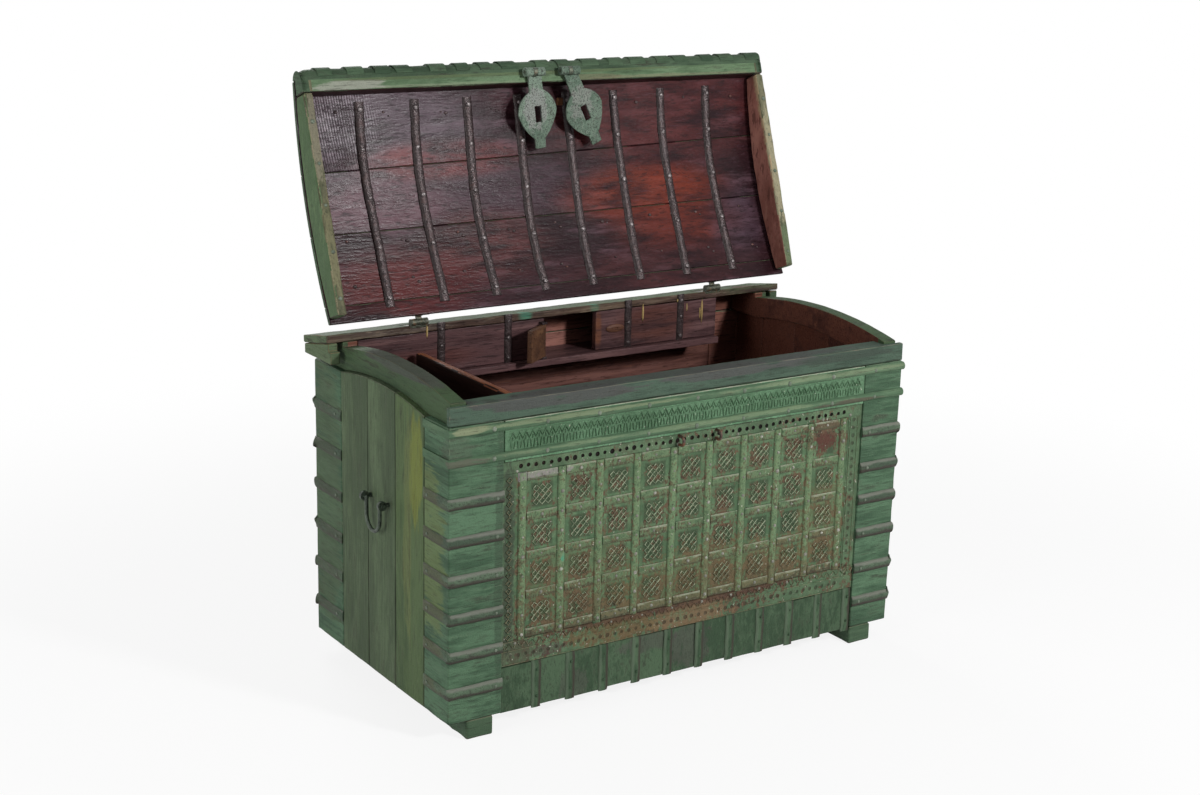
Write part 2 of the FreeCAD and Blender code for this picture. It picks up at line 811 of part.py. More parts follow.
def hasp(middle, lean, drop):
    """A hanging hasp: a teardrop plate with a slot, rolled at the top into two knuckles on a neck."""
    pivot = hasp_pivot()
    neck = hasp_neck_width / 2
    belly = hasp_width / 2
    waist = hasp_waist_width / 2
    shoulder_x = neck + (belly - neck) * hasp_shoulder_out
    shoulder_z = -hasp_neck_end - (hasp_belly - hasp_neck_end) * hasp_shoulder_down
    flank_x = waist + (belly - waist) * hasp_flank_out
    flank_z = -hasp_belly - (hasp_waist - hasp_belly) * hasp_flank_down
    half = hasp_thickness / 2
    plate = along_y(
        pivot.y - half, pivot.y + half,
        (-neck, drop), (neck, drop), (neck, -hasp_neck_end),
        ((shoulder_x, shoulder_z), (belly, -hasp_belly)),
        ((flank_x, flank_z), (waist, -hasp_waist)),
        (waist, -hasp_length), (-waist, -hasp_length), (-waist, -hasp_waist),
        ((-flank_x, flank_z), (-belly, -hasp_belly)),
        ((-shoulder_x, shoulder_z), (-neck, -hasp_neck_end)))
    slot = box(
        -hasp_slot_width / 2, hasp_slot_width / 2, pivot.y - hasp_thickness, pivot.y + hasp_thickness,
        -hasp_slot_bottom, -hasp_slot_top)
    plate = plate.cut(slot).translated(FreeCAD.Vector(0, 0, -drop))
    plate.rotate(FreeCAD.Vector(0, pivot.y, 0), FreeCAD.Vector(0, 1, 0), -lean)
    plate.translate(FreeCAD.Vector(middle, 0, pivot.z))
    reach = hasp_barrel_length / 2
    gap = hasp_eye_width / 2 + hasp_eye_gap
    barrel = rod((middle - reach, pivot.y, pivot.z), (middle + reach, pivot.y, pivot.z), hasp_barrel_radius)
    relief = hasp_barrel_radius + hasp_eye_gap
    notch = rod((middle - gap, pivot.y, pivot.z), (middle + gap, pivot.y, pivot.z), relief)
    bore = rod(
        (middle - reach, pivot.y, pivot.z), (middle + reach, pivot.y, pivot.z),
        hasp_pin_radius + running_clearance)
    above = box(
        middle - hasp_width, middle + hasp_width, pivot.y - hasp_width, pivot.y + hasp_width,
        pivot.z, pivot.z + hasp_width)
    return plate.cut(above).fuse(barrel).cut(notch).cut(bore).removeSplitter()


def hasp_eye(middle):
    """The eye under the closed lid's rim that a hasp's pin passes through."""
    half = hasp_eye_width / 2
    ring = rod((middle - half, hasp_pivot_y, hasp_pivot_z), (middle + half, hasp_pivot_y, hasp_pivot_z),
               hasp_barrel_radius - hasp_eye_gap)
    shank_front = hasp_pivot_y + hasp_shank_front
    shank_rear = hasp_pivot_y + hasp_shank_rear
    shank = along_x(
        middle - half, middle + half,
        (shank_front, hasp_pivot_z), (shank_rear, hasp_pivot_z),
        (shank_rear, rim_height(shank_rear)), (shank_front, rim_height(shank_front)))
    bore = rod((middle - half, hasp_pivot_y, hasp_pivot_z), (middle + half, hasp_pivot_y, hasp_pivot_z),
               hasp_pin_radius)
    return ring.fuse(shank).cut(bore).removeSplitter()


def make_hasps():
    """Two hasps on pins through eyes under the rim."""
    reach = hasp_barrel_length / 2
    eyes = []
    pins = []
    for middle in hasp_positions:
        eyes.append(opened(hasp_eye(middle)))
        pin = rod(
            (middle - reach, hasp_pivot_y, hasp_pivot_z), (middle + reach, hasp_pivot_y, hasp_pivot_z),
            hasp_pin_radius)
        pins.append(opened(pin))
    write("hasp_eyes", *eyes)
    write("hasp_pins", *pins)
    for side, middle, lean, drop in zip(sides, hasp_positions, hasp_leans, hasp_drops):
        write(side + "_hasp", hasp(middle, lean, drop))


def make_staples():
    """Iron loops on the front that the hasps close over."""
    bend = border_face - staple_leg
    staples = []
    for middle in staple_positions:
        section = Part.Wire(Part.makeCircle(
            staple_rod_radius, FreeCAD.Vector(middle, bend, staple_middle + staple_radius), FreeCAD.Vector(0, 1, 0)))
        centre = FreeCAD.Vector(middle, bend, staple_middle)
        loop = Part.Face(section).revolve(centre, FreeCAD.Vector(1, 0, 0), 180)
        legs = []
        for height in (staple_middle - staple_radius, staple_middle + staple_radius):
            legs.append(rod((middle, border_face, height), (middle, bend, height), staple_rod_radius))
        staples.append(loop.fuse(legs).removeSplitter())
    write("lock_staples", *staples)


handle_x = half_width + handle_eye_reach


def handle_eye(y):
    """A ring on a short post driven into the side, made for the right side."""
    ring = rod(
        (handle_x, y - handle_eye_width / 2, handle_eye_height),
        (handle_x, y + handle_eye_width / 2, handle_eye_height), handle_eye_radius)
    post = rod((half_width, y, handle_eye_height), (handle_x, y, handle_eye_height), handle_post_radius)
    bore = rod(
        (handle_x, y - handle_eye_radius, handle_eye_height),
        (handle_x, y + handle_eye_radius, handle_eye_height), handle_rod_radius + handle_play)
    return ring.fuse(post).cut(bore).removeSplitter()


def bail():
    """A bent rod hanging in its two eyes, made for the right side."""
    bend = handle_leg_spread / 2
    elbow = handle_eye_height - handle_drop + bend
    start = FreeCAD.Vector(handle_x, handle_middle_y + bend, elbow)
    section = Part.Face(Part.Wire(Part.makeCircle(handle_rod_radius, start, FreeCAD.Vector(0, 0, 1))))
    centre = FreeCAD.Vector(handle_x, handle_middle_y, elbow)
    pieces = [section.revolve(centre, FreeCAD.Vector(1, 0, 0), -180)]
    stub = handle_eye_spread / 2 + handle_eye_width / 2 + handle_stub_reach
    for sign in sides.values():
        leg_y = handle_middle_y + sign * bend
        corner = FreeCAD.Vector(handle_x, leg_y, handle_eye_height)
        pieces.append(rod((handle_x, leg_y, elbow), tuple(corner), handle_rod_radius))
        pieces.append(Part.makeSphere(handle_rod_radius, corner))
        end = (handle_x, handle_middle_y + sign * stub, handle_eye_height)
        pieces.append(rod(tuple(corner), end, handle_rod_radius))
    return pieces[0].fuse(pieces[1:]).removeSplitter()


def make_handles():
    """A drop handle on each side."""
    eyes = []
    for side in sides:
        for sign in sides.values():
            eyes.append(to_side(handle_eye(handle_middle_y + sign * handle_eye_spread / 2), side))
        write(side + "_handle", to_side(bail(), side))
    write("handle_eyes", *eyes)


os.makedirs("parts", exist_ok=True)
make_feet()
make_posts()
make_side_planks()
make_side_rails()
make_front()
make_panel_metal()
make_skirt_straps()
make_corner_straps()
make_floor_and_back()
make_deck()
make_rear_till()
make_till_door()
make_side_till()
make_hinges()
make_lid_frame()
make_lid_boards()
make_lid_straps()
make_hasps()
make_staples()
make_handles()

print("lid hinge y %.2f z %.2f" % (hinge_y - origin_setback, hinge_z))
print("hasp pivot y %.2f z %.2f" % (hasp_pivot().y - origin_setback, hasp_pivot().z))
print("till door pivot x %.2f y %.2f" % (till_pivot_x, till_pivot_y - origin_setback))
print("handle pivot x %.2f z %.2f" % (handle_x, handle_eye_height))
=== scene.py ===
import json
import math
import random

import bmesh
import bpy
from mathutils import Matrix, Vector, noise
from mathutils.bvhtree import BVHTree

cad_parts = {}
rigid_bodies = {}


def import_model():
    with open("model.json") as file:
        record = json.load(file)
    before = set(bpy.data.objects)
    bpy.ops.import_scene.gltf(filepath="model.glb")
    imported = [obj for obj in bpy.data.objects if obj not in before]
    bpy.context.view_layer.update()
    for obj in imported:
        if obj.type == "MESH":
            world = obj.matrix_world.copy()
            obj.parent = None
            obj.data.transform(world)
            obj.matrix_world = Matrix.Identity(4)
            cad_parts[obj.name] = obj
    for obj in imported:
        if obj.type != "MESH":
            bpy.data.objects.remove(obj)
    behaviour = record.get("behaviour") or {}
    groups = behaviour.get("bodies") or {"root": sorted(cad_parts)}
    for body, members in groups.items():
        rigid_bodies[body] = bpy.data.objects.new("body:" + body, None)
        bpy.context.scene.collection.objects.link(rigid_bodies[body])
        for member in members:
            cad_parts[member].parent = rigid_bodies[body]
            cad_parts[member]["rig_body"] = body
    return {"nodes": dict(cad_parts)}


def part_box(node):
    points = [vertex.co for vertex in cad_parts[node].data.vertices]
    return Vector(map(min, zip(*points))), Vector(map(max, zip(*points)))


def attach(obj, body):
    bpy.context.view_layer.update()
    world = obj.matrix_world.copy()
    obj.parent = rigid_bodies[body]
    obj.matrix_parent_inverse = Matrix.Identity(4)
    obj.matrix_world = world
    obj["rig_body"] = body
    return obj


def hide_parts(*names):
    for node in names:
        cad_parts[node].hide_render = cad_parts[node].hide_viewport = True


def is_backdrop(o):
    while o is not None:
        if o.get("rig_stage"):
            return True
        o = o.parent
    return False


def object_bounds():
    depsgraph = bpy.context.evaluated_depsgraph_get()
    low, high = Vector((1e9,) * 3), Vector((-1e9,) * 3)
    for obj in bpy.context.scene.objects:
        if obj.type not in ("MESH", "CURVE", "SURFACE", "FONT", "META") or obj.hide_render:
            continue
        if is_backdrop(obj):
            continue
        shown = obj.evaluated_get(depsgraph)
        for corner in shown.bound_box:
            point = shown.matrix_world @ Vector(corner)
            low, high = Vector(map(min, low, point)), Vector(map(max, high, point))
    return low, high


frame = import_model()
cad_low, cad_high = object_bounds()


# Corner posts: four L-shaped hardwood uprights that carry the sides, the front and the back.
# They were adzed by hand, so their faces are uneven and their edges worn round, and then brushed
# with green oil paint, which has rubbed thin along the edges; inside they are bare and stained.


class Wire:
    """A socket in a node tree. Arithmetic on it adds Math nodes, and node() adds any other node."""

    def __init__(self, tree, socket=None):
        self.tree = tree
        self.socket = socket

    def node(self, kind, settings=(), inputs=(), out=0):
        """Adds a node with its settings, then its sockets' values or links, and gives one output."""
        made = self.tree.nodes.new(kind)
        for name, value in dict(settings).items():
            setattr(made, name, value)
        for name, value in dict(inputs).items():
            self.into(made.inputs[name], value)
        return Wire(self.tree, made.outputs[out])

    def into(self, socket, value):
        """Links a wire to a socket, or sets the socket to a plain value."""
        if isinstance(value, Wire):
            self.tree.links.new(value.socket, socket)
        else:
            socket.default_value = value

    def beside(self, out):
        """Another output of the node that this wire comes from."""
        return Wire(self.tree, self.socket.node.outputs[out])

    def vector(self, operation, first, second=(0, 0, 0), out=0):
        """Adds a Vector Math node."""
        return self.node("ShaderNodeVectorMath", {"operation": operation}, {0: first, 1: second}, out)

    def maths(self, operation, first, second=0.0):
        """Adds a Math node."""
        return self.node("ShaderNodeMath", {"operation": operation}, {0: first, 1: second})

    def __add__(self, other):
        return self.maths("ADD", self, other)

    def __radd__(self, other):
        return self.maths("ADD", other, self)

    def __sub__(self, other):
        return self.maths("SUBTRACT", self, other)

    def __rsub__(self, other):
        return self.maths("SUBTRACT", other, self)

    def __mul__(self, other):
        return self.maths("MULTIPLY", self, other)

    def __rmul__(self, other):
        return self.maths("MULTIPLY", other, self)


def display(red, green, blue):
    """A colour as a screen shows it, from 0 to 255, turned into the linear values of a socket."""
    shares = [value / 255 for value in (red, green, blue)]
    return [s / 12.92 if s <= 0.04045 else ((s + 0.055) / 1.055) ** 2.4 for s in shares] + [1.0]


def cloud(place, spacing, detail=3.0, stretch=(1.0, 1.0, 1.0)):
    """Noise from 0 to 1 with patches about the spacing wide, drawn out along each axis by the stretch."""
    steps = [spacing * share for share in stretch]
    scaled = place.vector("DIVIDE", place, steps)
    inputs = {"Vector": scaled, "Scale": 1.0, "Detail": detail, "Roughness": 0.6}
    return place.node("ShaderNodeTexNoise", inputs=inputs)


def smooth(value, low, high):
    """0 below low, 1 above high and a soft step between them."""
    inputs = {"Value": value, "From Min": low, "From Max": high}
    return value.node("ShaderNodeMapRange", {"interpolation_type": "SMOOTHSTEP"}, inputs)


def blend(mask, under, over):
    """The under colour where the mask is 0, the over colour where it is 1; a tuple is a screen's colour."""
    under, over = [display(*colour) if isinstance(colour, tuple) else colour for colour in (under, over)]
    return mask.node("ShaderNodeMix", {"data_type": "RGBA"}, {0: mask, 6: under, 7: over}, out=2)


def spotted(spot, centre, reach):
    """A soft mask over an ellipsoid about a place in the frame, in metres."""
    share = spot.vector("DIVIDE", spot.vector("SUBTRACT", spot, centre), reach)
    return 1.0 - smooth(spot.vector("LENGTH", share, out="Value"), 0.45, 1.15)


def ragged(spot, centre, reach, *clouds):
    """The mask of a patch about a place, with an edge that the clouds break up."""
    middle = spotted(spot, centre, reach)
    value = middle
    for share, noise_value in clouds:
        value = value + share * (noise_value - 0.5)
    return smooth(value, 0.30, 0.80) * smooth(middle, 0.02, 0.25)


def mark(spot, label):
    """A mark that the mesh carries: a board's number, the worn edges, or which side of an edge or bar is
    painted as shade.

    The mark named under is above 0 on the side painted as shade and below 0 on the side painted as highlight.
    """
    return spot.node("ShaderNodeAttribute", {"attribute_name": label}, out="Fac")


def begin(name, shine=0.3):
    """A new material, its shader, the Object coordinates, those shifted for each board, and two marks."""
    material = bpy.data.materials.new(name)
    material.use_nodes = True
    tree = material.node_tree
    shader = tree.nodes["Principled BSDF"]
    shader.inputs["Specular IOR Level"].default_value = shine
    spot = Wire(tree).node("ShaderNodeTexCoord", out="Object")
    board = mark(spot, "board")
    metres_apart = 9.0
    place = spot.vector("ADD", spot, metres_apart * board)
    return material, shader, spot, place, mark(spot, "edge"), board


def coat(shader, colour, roughness, height, strength, depth):
    """Gives a shader its colour, its roughness and a small relief, which all vary over the surface."""
    bump = height.node("ShaderNodeBump", inputs={"Height": height, "Strength": strength, "Distance": depth})
    for socket, value in (("Base Color", colour), ("Roughness", roughness), ("Normal", bump)):
        height.into(shader.inputs[socket], value)


def aged_paint(name, dark, light, bare, stretch, wear=0.14, grime=0.6, relief=0.7, shine=0.12, pits=0.35,
               seams=0.0, patches=()):
    """Old brushed paint: streaks, cracks, dirt, scuffs, rubbed edges or dark seams, and stains.

    dark and light are the paint's tones and bare the colour where it is rubbed, which is also the painted
    highlight on upper edges and a bar's lit side, whose other sides get painted shade; stretch draws the
    brush marks out along each axis; a patch is the middle and the reach of a stain or of a painted
    highlight, its colour and its share.
    """
    material, shader, spot, place, edge, board = begin(name, shine)
    drawn = [math.sqrt(share) for share in stretch]
    broad = cloud(place, 0.12, 4.0, drawn)
    streak = cloud(place, 0.0085, 5.0, stretch)
    mottle = cloud(place, 0.020, 4.0, drawn)
    fleck = cloud(place, 0.0032, 3.0)
    crack = cloud(place, 0.0030, 3.0, stretch)
    tone = 0.40 * broad + 0.32 * streak + 0.28 * mottle + 0.12 * board
    paint = blend(smooth(tone, 0.48, 0.63), dark, light)
    soot = (44, 43, 38)
    dirt = smooth(0.55 * mottle + 0.45 * streak, 0.53, 0.66)
    paint = blend(dirt * grime, paint, soot)
    for centre, reach, colour, share in patches:
        paint = blend(ragged(spot, centre, reach, (2.0, mottle), (2.2, streak)) * share, paint, colour)
    paint = blend(smooth(crack, 0.57, 0.66) * 0.45, paint, soot)
    rubbed = smooth(edge * wear + 0.55 * mottle + 0.45 * fleck, 0.62, 0.76)
    paint = blend(rubbed, paint, bare)
    scuff = smooth(0.6 * streak + 0.4 * fleck, 0.58, 0.70)
    paint = blend(scuff * 0.35, paint, bare)
    paint = blend(smooth(1.0 - fleck, 0.61 - 0.12 * pits, 0.74 - 0.12 * pits) * pits, paint, soot)
    paint = blend(edge * seams, paint, (30, 32, 26))
    # Painted shade on lower edges and a bar's shaded side, painted highlight in the bare colour on the
    # others.
    under = mark(spot, "under")
    paint = blend(smooth(under + 0.8 * (mottle - 0.5), 0.0, 0.60) * 0.88, paint, (58, 51, 46))
    paint = blend(smooth(0.8 * (mottle - 0.5) - under, 0.25, 0.75) * 0.75, paint, bare)
    roughness = 0.46 + 0.30 * streak + 0.08 * rubbed
    coat(shader, paint, roughness, streak + 0.5 * fleck + 0.7 * mottle - 0.6 * crack, relief, 0.0028)
    return material


def old_timber(name, dark, mid, light, stretch, gloss=0.42, shine=0.12, relief=0.5, scratches_and_sheen=0.25,
               seams=0.0, saw=None, rim=None, patches=()):
    """Bare or varnished old wood: long grain, stains and patches of painted light, dark pores, pale streaks
    that are scratches and painted sheen, and rubbed edges or dark seams.

    saw gives the middle and reach of a place with saw marks, the distance between the marks and how much
    they slant, and the marks are painted as dark lines of shade and pale lines of glint; rim gives the
    direction that a rim faces, how far out it lies, its breadth and the colour it is worn to.
    """
    material, shader, spot, place, edge, board = begin(name, shine)
    drawn = [math.sqrt(share) for share in stretch]
    broad = cloud(place, 0.13, 4.0, drawn)
    figure = cloud(place, 0.020, 4.0, stretch)
    grain = cloud(place, 0.0042, 4.0, stretch)
    fleck = cloud(place, 0.005, 3.0, drawn)
    wood = blend(smooth(0.45 * broad + 0.30 * figure + 0.25 * grain + 0.14 * board, 0.50, 0.64), dark, mid)
    wood = blend(smooth(figure, 0.52, 0.70) * 0.5, wood, light)
    for centre, reach, colour, share in patches:
        stained = spotted(spot, centre, reach) * smooth(0.5 * figure + 0.5 * broad, 0.36, 0.58)
        wood = blend(stained * share, wood, colour)
    black = [channel * 0.25 for channel in display(*dark)[:3]] + [1.0]
    wood = blend(smooth(grain, 0.54, 0.66) * 0.65, wood, black)
    wood = blend(smooth(1.0 - fleck, 0.58, 0.72) * 0.55, wood, black)
    # Pale streaks along the grain: scratches, and on varnish a painted sheen.
    wood = blend(smooth(0.7 * (1.0 - grain) + 0.3 * fleck, 0.54, 0.64) * scratches_and_sheen, wood, light)
    rubbed = smooth(edge * 0.2 + 0.6 * fleck + 0.3 * figure, 0.60, 0.78)
    wood = blend(rubbed * (0.6 - 0.6 * seams), wood, light)
    wood = blend(edge * seams, wood, black)
    if saw:
        middle, reach, period, slant = saw
        aside = spot.node("ShaderNodeSeparateXYZ", inputs={0: spot})
        height = aside.beside("Z")
        wave = aside.maths("SINE", (aside + slant * height) * (2 * math.pi / period))
        wave = wave + 3.4 * (fleck - 0.5) + 2.6 * (figure - 0.5)
        marked = spotted(spot, middle, reach) * smooth(0.5 * figure + 0.5 * broad, 0.36, 0.54)
        # The saw marks are painted: dark lines of painted shade and pale lines of painted glint.
        wood = blend(smooth(0.0 - wave, 0.0, 0.8) * marked * 0.7, wood, black)
        wood = blend(smooth(wave, 0.45, 1.05) * marked * 0.75, wood, (172, 162, 170))
    if rim:
        faced, level, breadth, colour = rim
        out = spot.vector("DOT_PRODUCT", spot, tuple(faced), "Value")
        uneven = breadth * (1.5 * (broad - 0.5) + 1.5 * (fleck - 0.5))
        worn = smooth(out + uneven, level - breadth, level - 0.5 * breadth)
        wood = blend(worn * 0.8, wood, colour)
    roughness = gloss + 0.30 * (grain - 0.5) + 0.25 * (figure - 0.5)
    coat(shader, wood, roughness, grain + 0.6 * figure + 0.4 * fleck, relief, 0.0022)
    return material


def add_object(name, data):
    """A new object at the scene's origin."""
    made = bpy.data.objects.new(name, data)
    bpy.context.scene.collection.objects.link(made)
    return made


def mesh_from(work, name):
    """The mesh of a bmesh, which is freed."""
    mesh = bpy.data.meshes.new(name)
    work.to_mesh(mesh)
    work.free()
    return mesh


def settle(piece):
    """Makes an object's modifiers part of its own mesh."""
    graph = bpy.context.evaluated_depsgraph_get()
    plain = bpy.data.meshes.new_from_object(piece.evaluated_get(graph))
    piece.modifiers.clear()
    piece.data = plain


def number_boards(work, chance):
    """Gives every separate board in a bmesh a random number of its own, which its material reads."""
    layer = work.verts.layers.float.new("board")
    seen = set()
    for first in work.verts:
        if first in seen:
            continue
        number = chance.random()
        seen.add(first)
        queue = [first]
        while queue:
            vert = queue.pop()
            vert[layer] = number
            for line in vert.link_edges:
                other = line.other_vert(vert)
                if other not in seen:
                    seen.add(other)
                    queue.append(other)


def cut_cells(work, axis, cuts):
    """Cuts a bmesh across one axis at each of some distances along it."""
    across = Vector((axis == 0, axis == 1, axis == 2))
    for cut in cuts:
        everything = work.verts[:] + work.edges[:] + work.faces[:]
        bmesh.ops.bisect_plane(work, geom=everything, dist=1e-6, plane_co=across * cut, plane_no=across)


def weather(work, name, edge_width, uneven, cell, thin=None, fine_cuts=(), level_cuts=(), carve=None):
    """Makes a sharp-edged bmesh a piece with worn round edges and slightly uneven faces.

    thin is the direction of a board's thickness where its seams have to stay shut, and carve gives
    an extra depth at a point with its normal.
    """
    chance = random.Random(name)
    flat = math.radians(0.5)
    corner = math.radians(30)
    bmesh.ops.remove_doubles(work, verts=work.verts, dist=1e-5)
    bmesh.ops.dissolve_limit(work, angle_limit=flat, verts=work.verts, edges=work.edges)
    sharp = [line for line in work.edges if line.is_manifold and line.calc_face_angle() > corner]
    rounded = bmesh.ops.bevel(work, geom=sharp, offset=edge_width, segments=2, profile=0.5,
                              affect="EDGES", clamp_overlap=True)
    bevelled = set(rounded["faces"])
    work.normal_update()
    edge_layer = work.verts.layers.float.new("edge")
    # The under mark: lower worn edges are painted as shade and upper ones as highlight.
    shade_side_layer = work.verts.layers.float.new("under")
    for vert in work.verts:
        vert[edge_layer] = float(all(face in bevelled for face in vert.link_faces))
        vert[shade_side_layer] = -vert.normal.z * vert[edge_layer]
    for axis in range(3):
        low = min(vert.co[axis] for vert in work.verts)
        high = max(vert.co[axis] for vert in work.verts)
        steps = range(math.ceil(low / cell), math.floor(high / cell) + 1)
        cut_cells(work, axis, [step * cell for step in steps])
    cut_cells(work, 0, fine_cuts)
    cut_cells(work, 2, level_cuts)
    number_boards(work, chance)
    work.normal_update()
    long_waves = 9
    short_waves = 31
    chip_waves = 28
    shift = Vector((chance.uniform(0, 9), chance.uniform(0, 9), chance.uniform(0, 9)))
    for vert in work.verts:
        share = 1.0 if thin is None else max(0.0, abs(vert.normal.dot(thin)) - 0.4) / 0.6
        swell = 0.35 + 0.4 * noise.noise(vert.co * long_waves + shift)
        swell += 0.25 * noise.noise(vert.co * short_waves + shift)
        chip = vert[edge_layer] * max(0.0, noise.noise(vert.co * chip_waves + shift)) * edge_width * 1.4
        depth = max(0.0, uneven * swell * 1.3) * share + chip * share
        if carve is not None:
            depth += carve(vert.co, vert.normal)
        vert.co -= vert.normal * depth
    mesh = mesh_from(work, name)
    mesh.shade_smooth()
    piece = add_object(name, mesh)
    piece.modifiers.new("flat faces", "WEIGHTED_NORMAL").keep_sharp = True
    settle(piece)
    return piece


def stand_for(piece, materials, *nodes, rule=None):
    """Puts a piece in the place of CAD nodes; the rule picks each face's material by its place and normal."""
    piece.data.materials.clear()
    for material in materials:
        piece.data.materials.append(material)
    for face in piece.data.polygons:
        face.material_index = rule(face.center, face.normal) if rule else 0
    first = frame["nodes"][nodes[0]]
    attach(piece, first["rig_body"])
    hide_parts(*nodes)


def hewn(node, materials, rule=None, edge_width=0.003, uneven=0.0012, cell=0.03, **more):
    """A CAD piece with worn edges and uneven faces in place of its sharp solid."""
    work = bmesh.new()
    work.from_mesh(frame["nodes"][node].data)
    piece = weather(work, "worn_" + node, edge_width, uneven, cell, **more)
    stand_for(piece, materials, node, rule=rule)
    return piece


hollow_low = (-0.597, -0.309, 0.06)
hollow_high = (0.597, 0.286, 0.80)


def inward(centre, normal):
    """1 for a face that looks into the body's hollow, and 0 for any other."""
    ahead = centre + normal * 0.004
    within = all(low < at < high for low, at, high in zip(hollow_low, ahead, hollow_high))
    return int(within and abs(normal.z) < 0.7)


level_grain = (14.0, 14.0, 1.0)
upright_grain = (1.0, 1.0, 18.0)
board_grain = (16.0, 1.0, 1.0)
rubbed_green = (124, 132, 108)
# The first patch paints the top of the inner back paler, as painted light where the till's shadow falls; the
# second paints its lower part paler.
inside_timber = old_timber(
    "inside_timber", (74, 46, 40), (108, 68, 56), (132, 88, 68), board_grain,
    patches=[((0.0, 0.29, 0.69), (0.75, 0.08, 0.07), (158, 110, 100), 0.8),
             ((0.0, 0.29, 0.60), (0.75, 0.08, 0.07), (120, 84, 78), 0.8),
             ((0.61, 0.0, 0.62), (0.07, 0.45, 0.30), (82, 46, 36), 0.7)])
post_paint = aged_paint(
    "post_paint", (60, 84, 64), (88, 117, 91), (112, 124, 102), level_grain, relief=1.0,
    patches=[((-0.61, -0.34, 0.66), (0.05, 0.04, 0.05), (86, 84, 76), 0.25),
             ((-0.50, -0.34, 0.40), (0.015, 0.03, 0.40), (60, 76, 60), 0.6),
             ((-0.63, -0.25, 0.42), (0.02, 0.09, 0.26), (112, 124, 76), 0.55),
             ((-0.63, 0.26, 0.42), (0.02, 0.12, 0.45), (78, 88, 64), 0.50)])
for post in ("left_front_post", "right_front_post", "left_rear_post", "right_rear_post"):
    hewn(post, [post_paint, inside_timber], inward)


# Feet: four blocks of hardwood under the corners, cut square and nailed on from below.
# Their paint is the front's, scuffed and dirty where they meet the floor.
foot_paint = aged_paint("foot_paint", (67, 88, 67), (90, 112, 87), (112, 114, 92), level_grain, grime=0.8)
hewn("feet", [foot_paint], edge_width=0.005)


# Side planks: three upright boards in each side, nailed to the floor and to the rails behind them.
# Sawn softwood with open joints, under the same green paint; the one next to the front is yellowed.
side_dark = (69, 83, 61)
side_light = (93, 110, 82)
plank_paint = aged_paint(
    "plank_paint", side_dark, side_light, rubbed_green, upright_grain, relief=0.8, seams=0.85)
yellowed_paint = aged_paint(
    "yellowed_paint", (64, 82, 54), (84, 102, 68), rubbed_green, upright_grain, relief=0.8, seams=0.85,
    patches=[((-0.62, -0.150, 0.42), (0.05, 0.022, 0.32), (122, 126, 76), 0.3),
             ((-0.62, -0.190, 0.58), (0.05, 0.035, 0.15), (126, 132, 60), 0.60)])
side_thin = Vector((1, 0, 0))
for side in ("left", "right"):
    for number, paint in (("1", yellowed_paint), ("2", plank_paint), ("3", plank_paint)):
        hewn(side + "_side_plank_" + number, [paint, inside_timber], inward, thin=side_thin)


# Rails: an arched rail over each side, a front rail and a rear rail, which close the top of the body.
# Hardwood, mortised into the posts; the lid has rubbed their tops to a purple grey.
rubbed_grey = (76, 73, 74)
rail_paint = aged_paint(
    "rail_paint", (54, 68, 58), (73, 92, 78), (116, 112, 98), level_grain,
    wear=0.16, grime=0.5,
    patches=[((-0.36, -0.337, 0.748), (0.26, 0.05, 0.022), rubbed_grey, 0.75),
             ((0.15, -0.337, 0.750), (0.30, 0.05, 0.017), rubbed_grey, 0.75),
             ((0.45, -0.337, 0.745), (0.18, 0.05, 0.014), (60, 70, 62), 0.8),
             ((0.0, -0.31, 0.759), (0.65, 0.030, 0.010), (66, 68, 66), 0.8)])
arch_paint = aged_paint(
    "arch_paint", (51, 68, 48), (69, 88, 62), (98, 92, 72), level_grain, grime=0.65,
    patches=[((-0.60, -0.10, 0.79), (0.05, 0.22, 0.02), rubbed_grey, 0.6)])
hewn("front_rail", [rail_paint, inside_timber], inward, uneven=0.0016)
hewn("rear_rail", [rail_paint, inside_timber], inward)
for node in ("left_side_rail", "right_side_rail"):
    hewn(node, [arch_paint, inside_timber], inward, edge_width=0.002)


# Back and floor: two wide planks across the back and the boards of the floor inside.
# Sawn boards nailed to the posts; the back is painted outside, and all is bare and stained within.
back_paint = aged_paint("back_paint", side_dark, side_light, rubbed_green, board_grain, seams=0.8)
back_thin = Vector((0, 1, 0))
for node in ("back_plank_1", "back_plank_2"):
    hewn(node, [back_paint, inside_timber], inward, thin=back_thin)
hewn("floor_boards", [inside_timber], cell=0.06, thin=Vector((0, 0, 1)))


# Frieze: the carved board under the front rail, cut with a row of chevrons over a row of upright flutes.
# Hardwood, chip-carved in place and painted with the rest; the hollows are darkened with dirt and painted
# shade, and the crests are pale with wear and a painted highlight.


def from_middle(value, first, pitch):
    """How far a place lies from the middle of its cell, in a row of cells of one pitch."""
    share = value.maths("FRACT", (value - first) * (1 / pitch)) - 0.5
    return value.maths("ABSOLUTE", share) * pitch


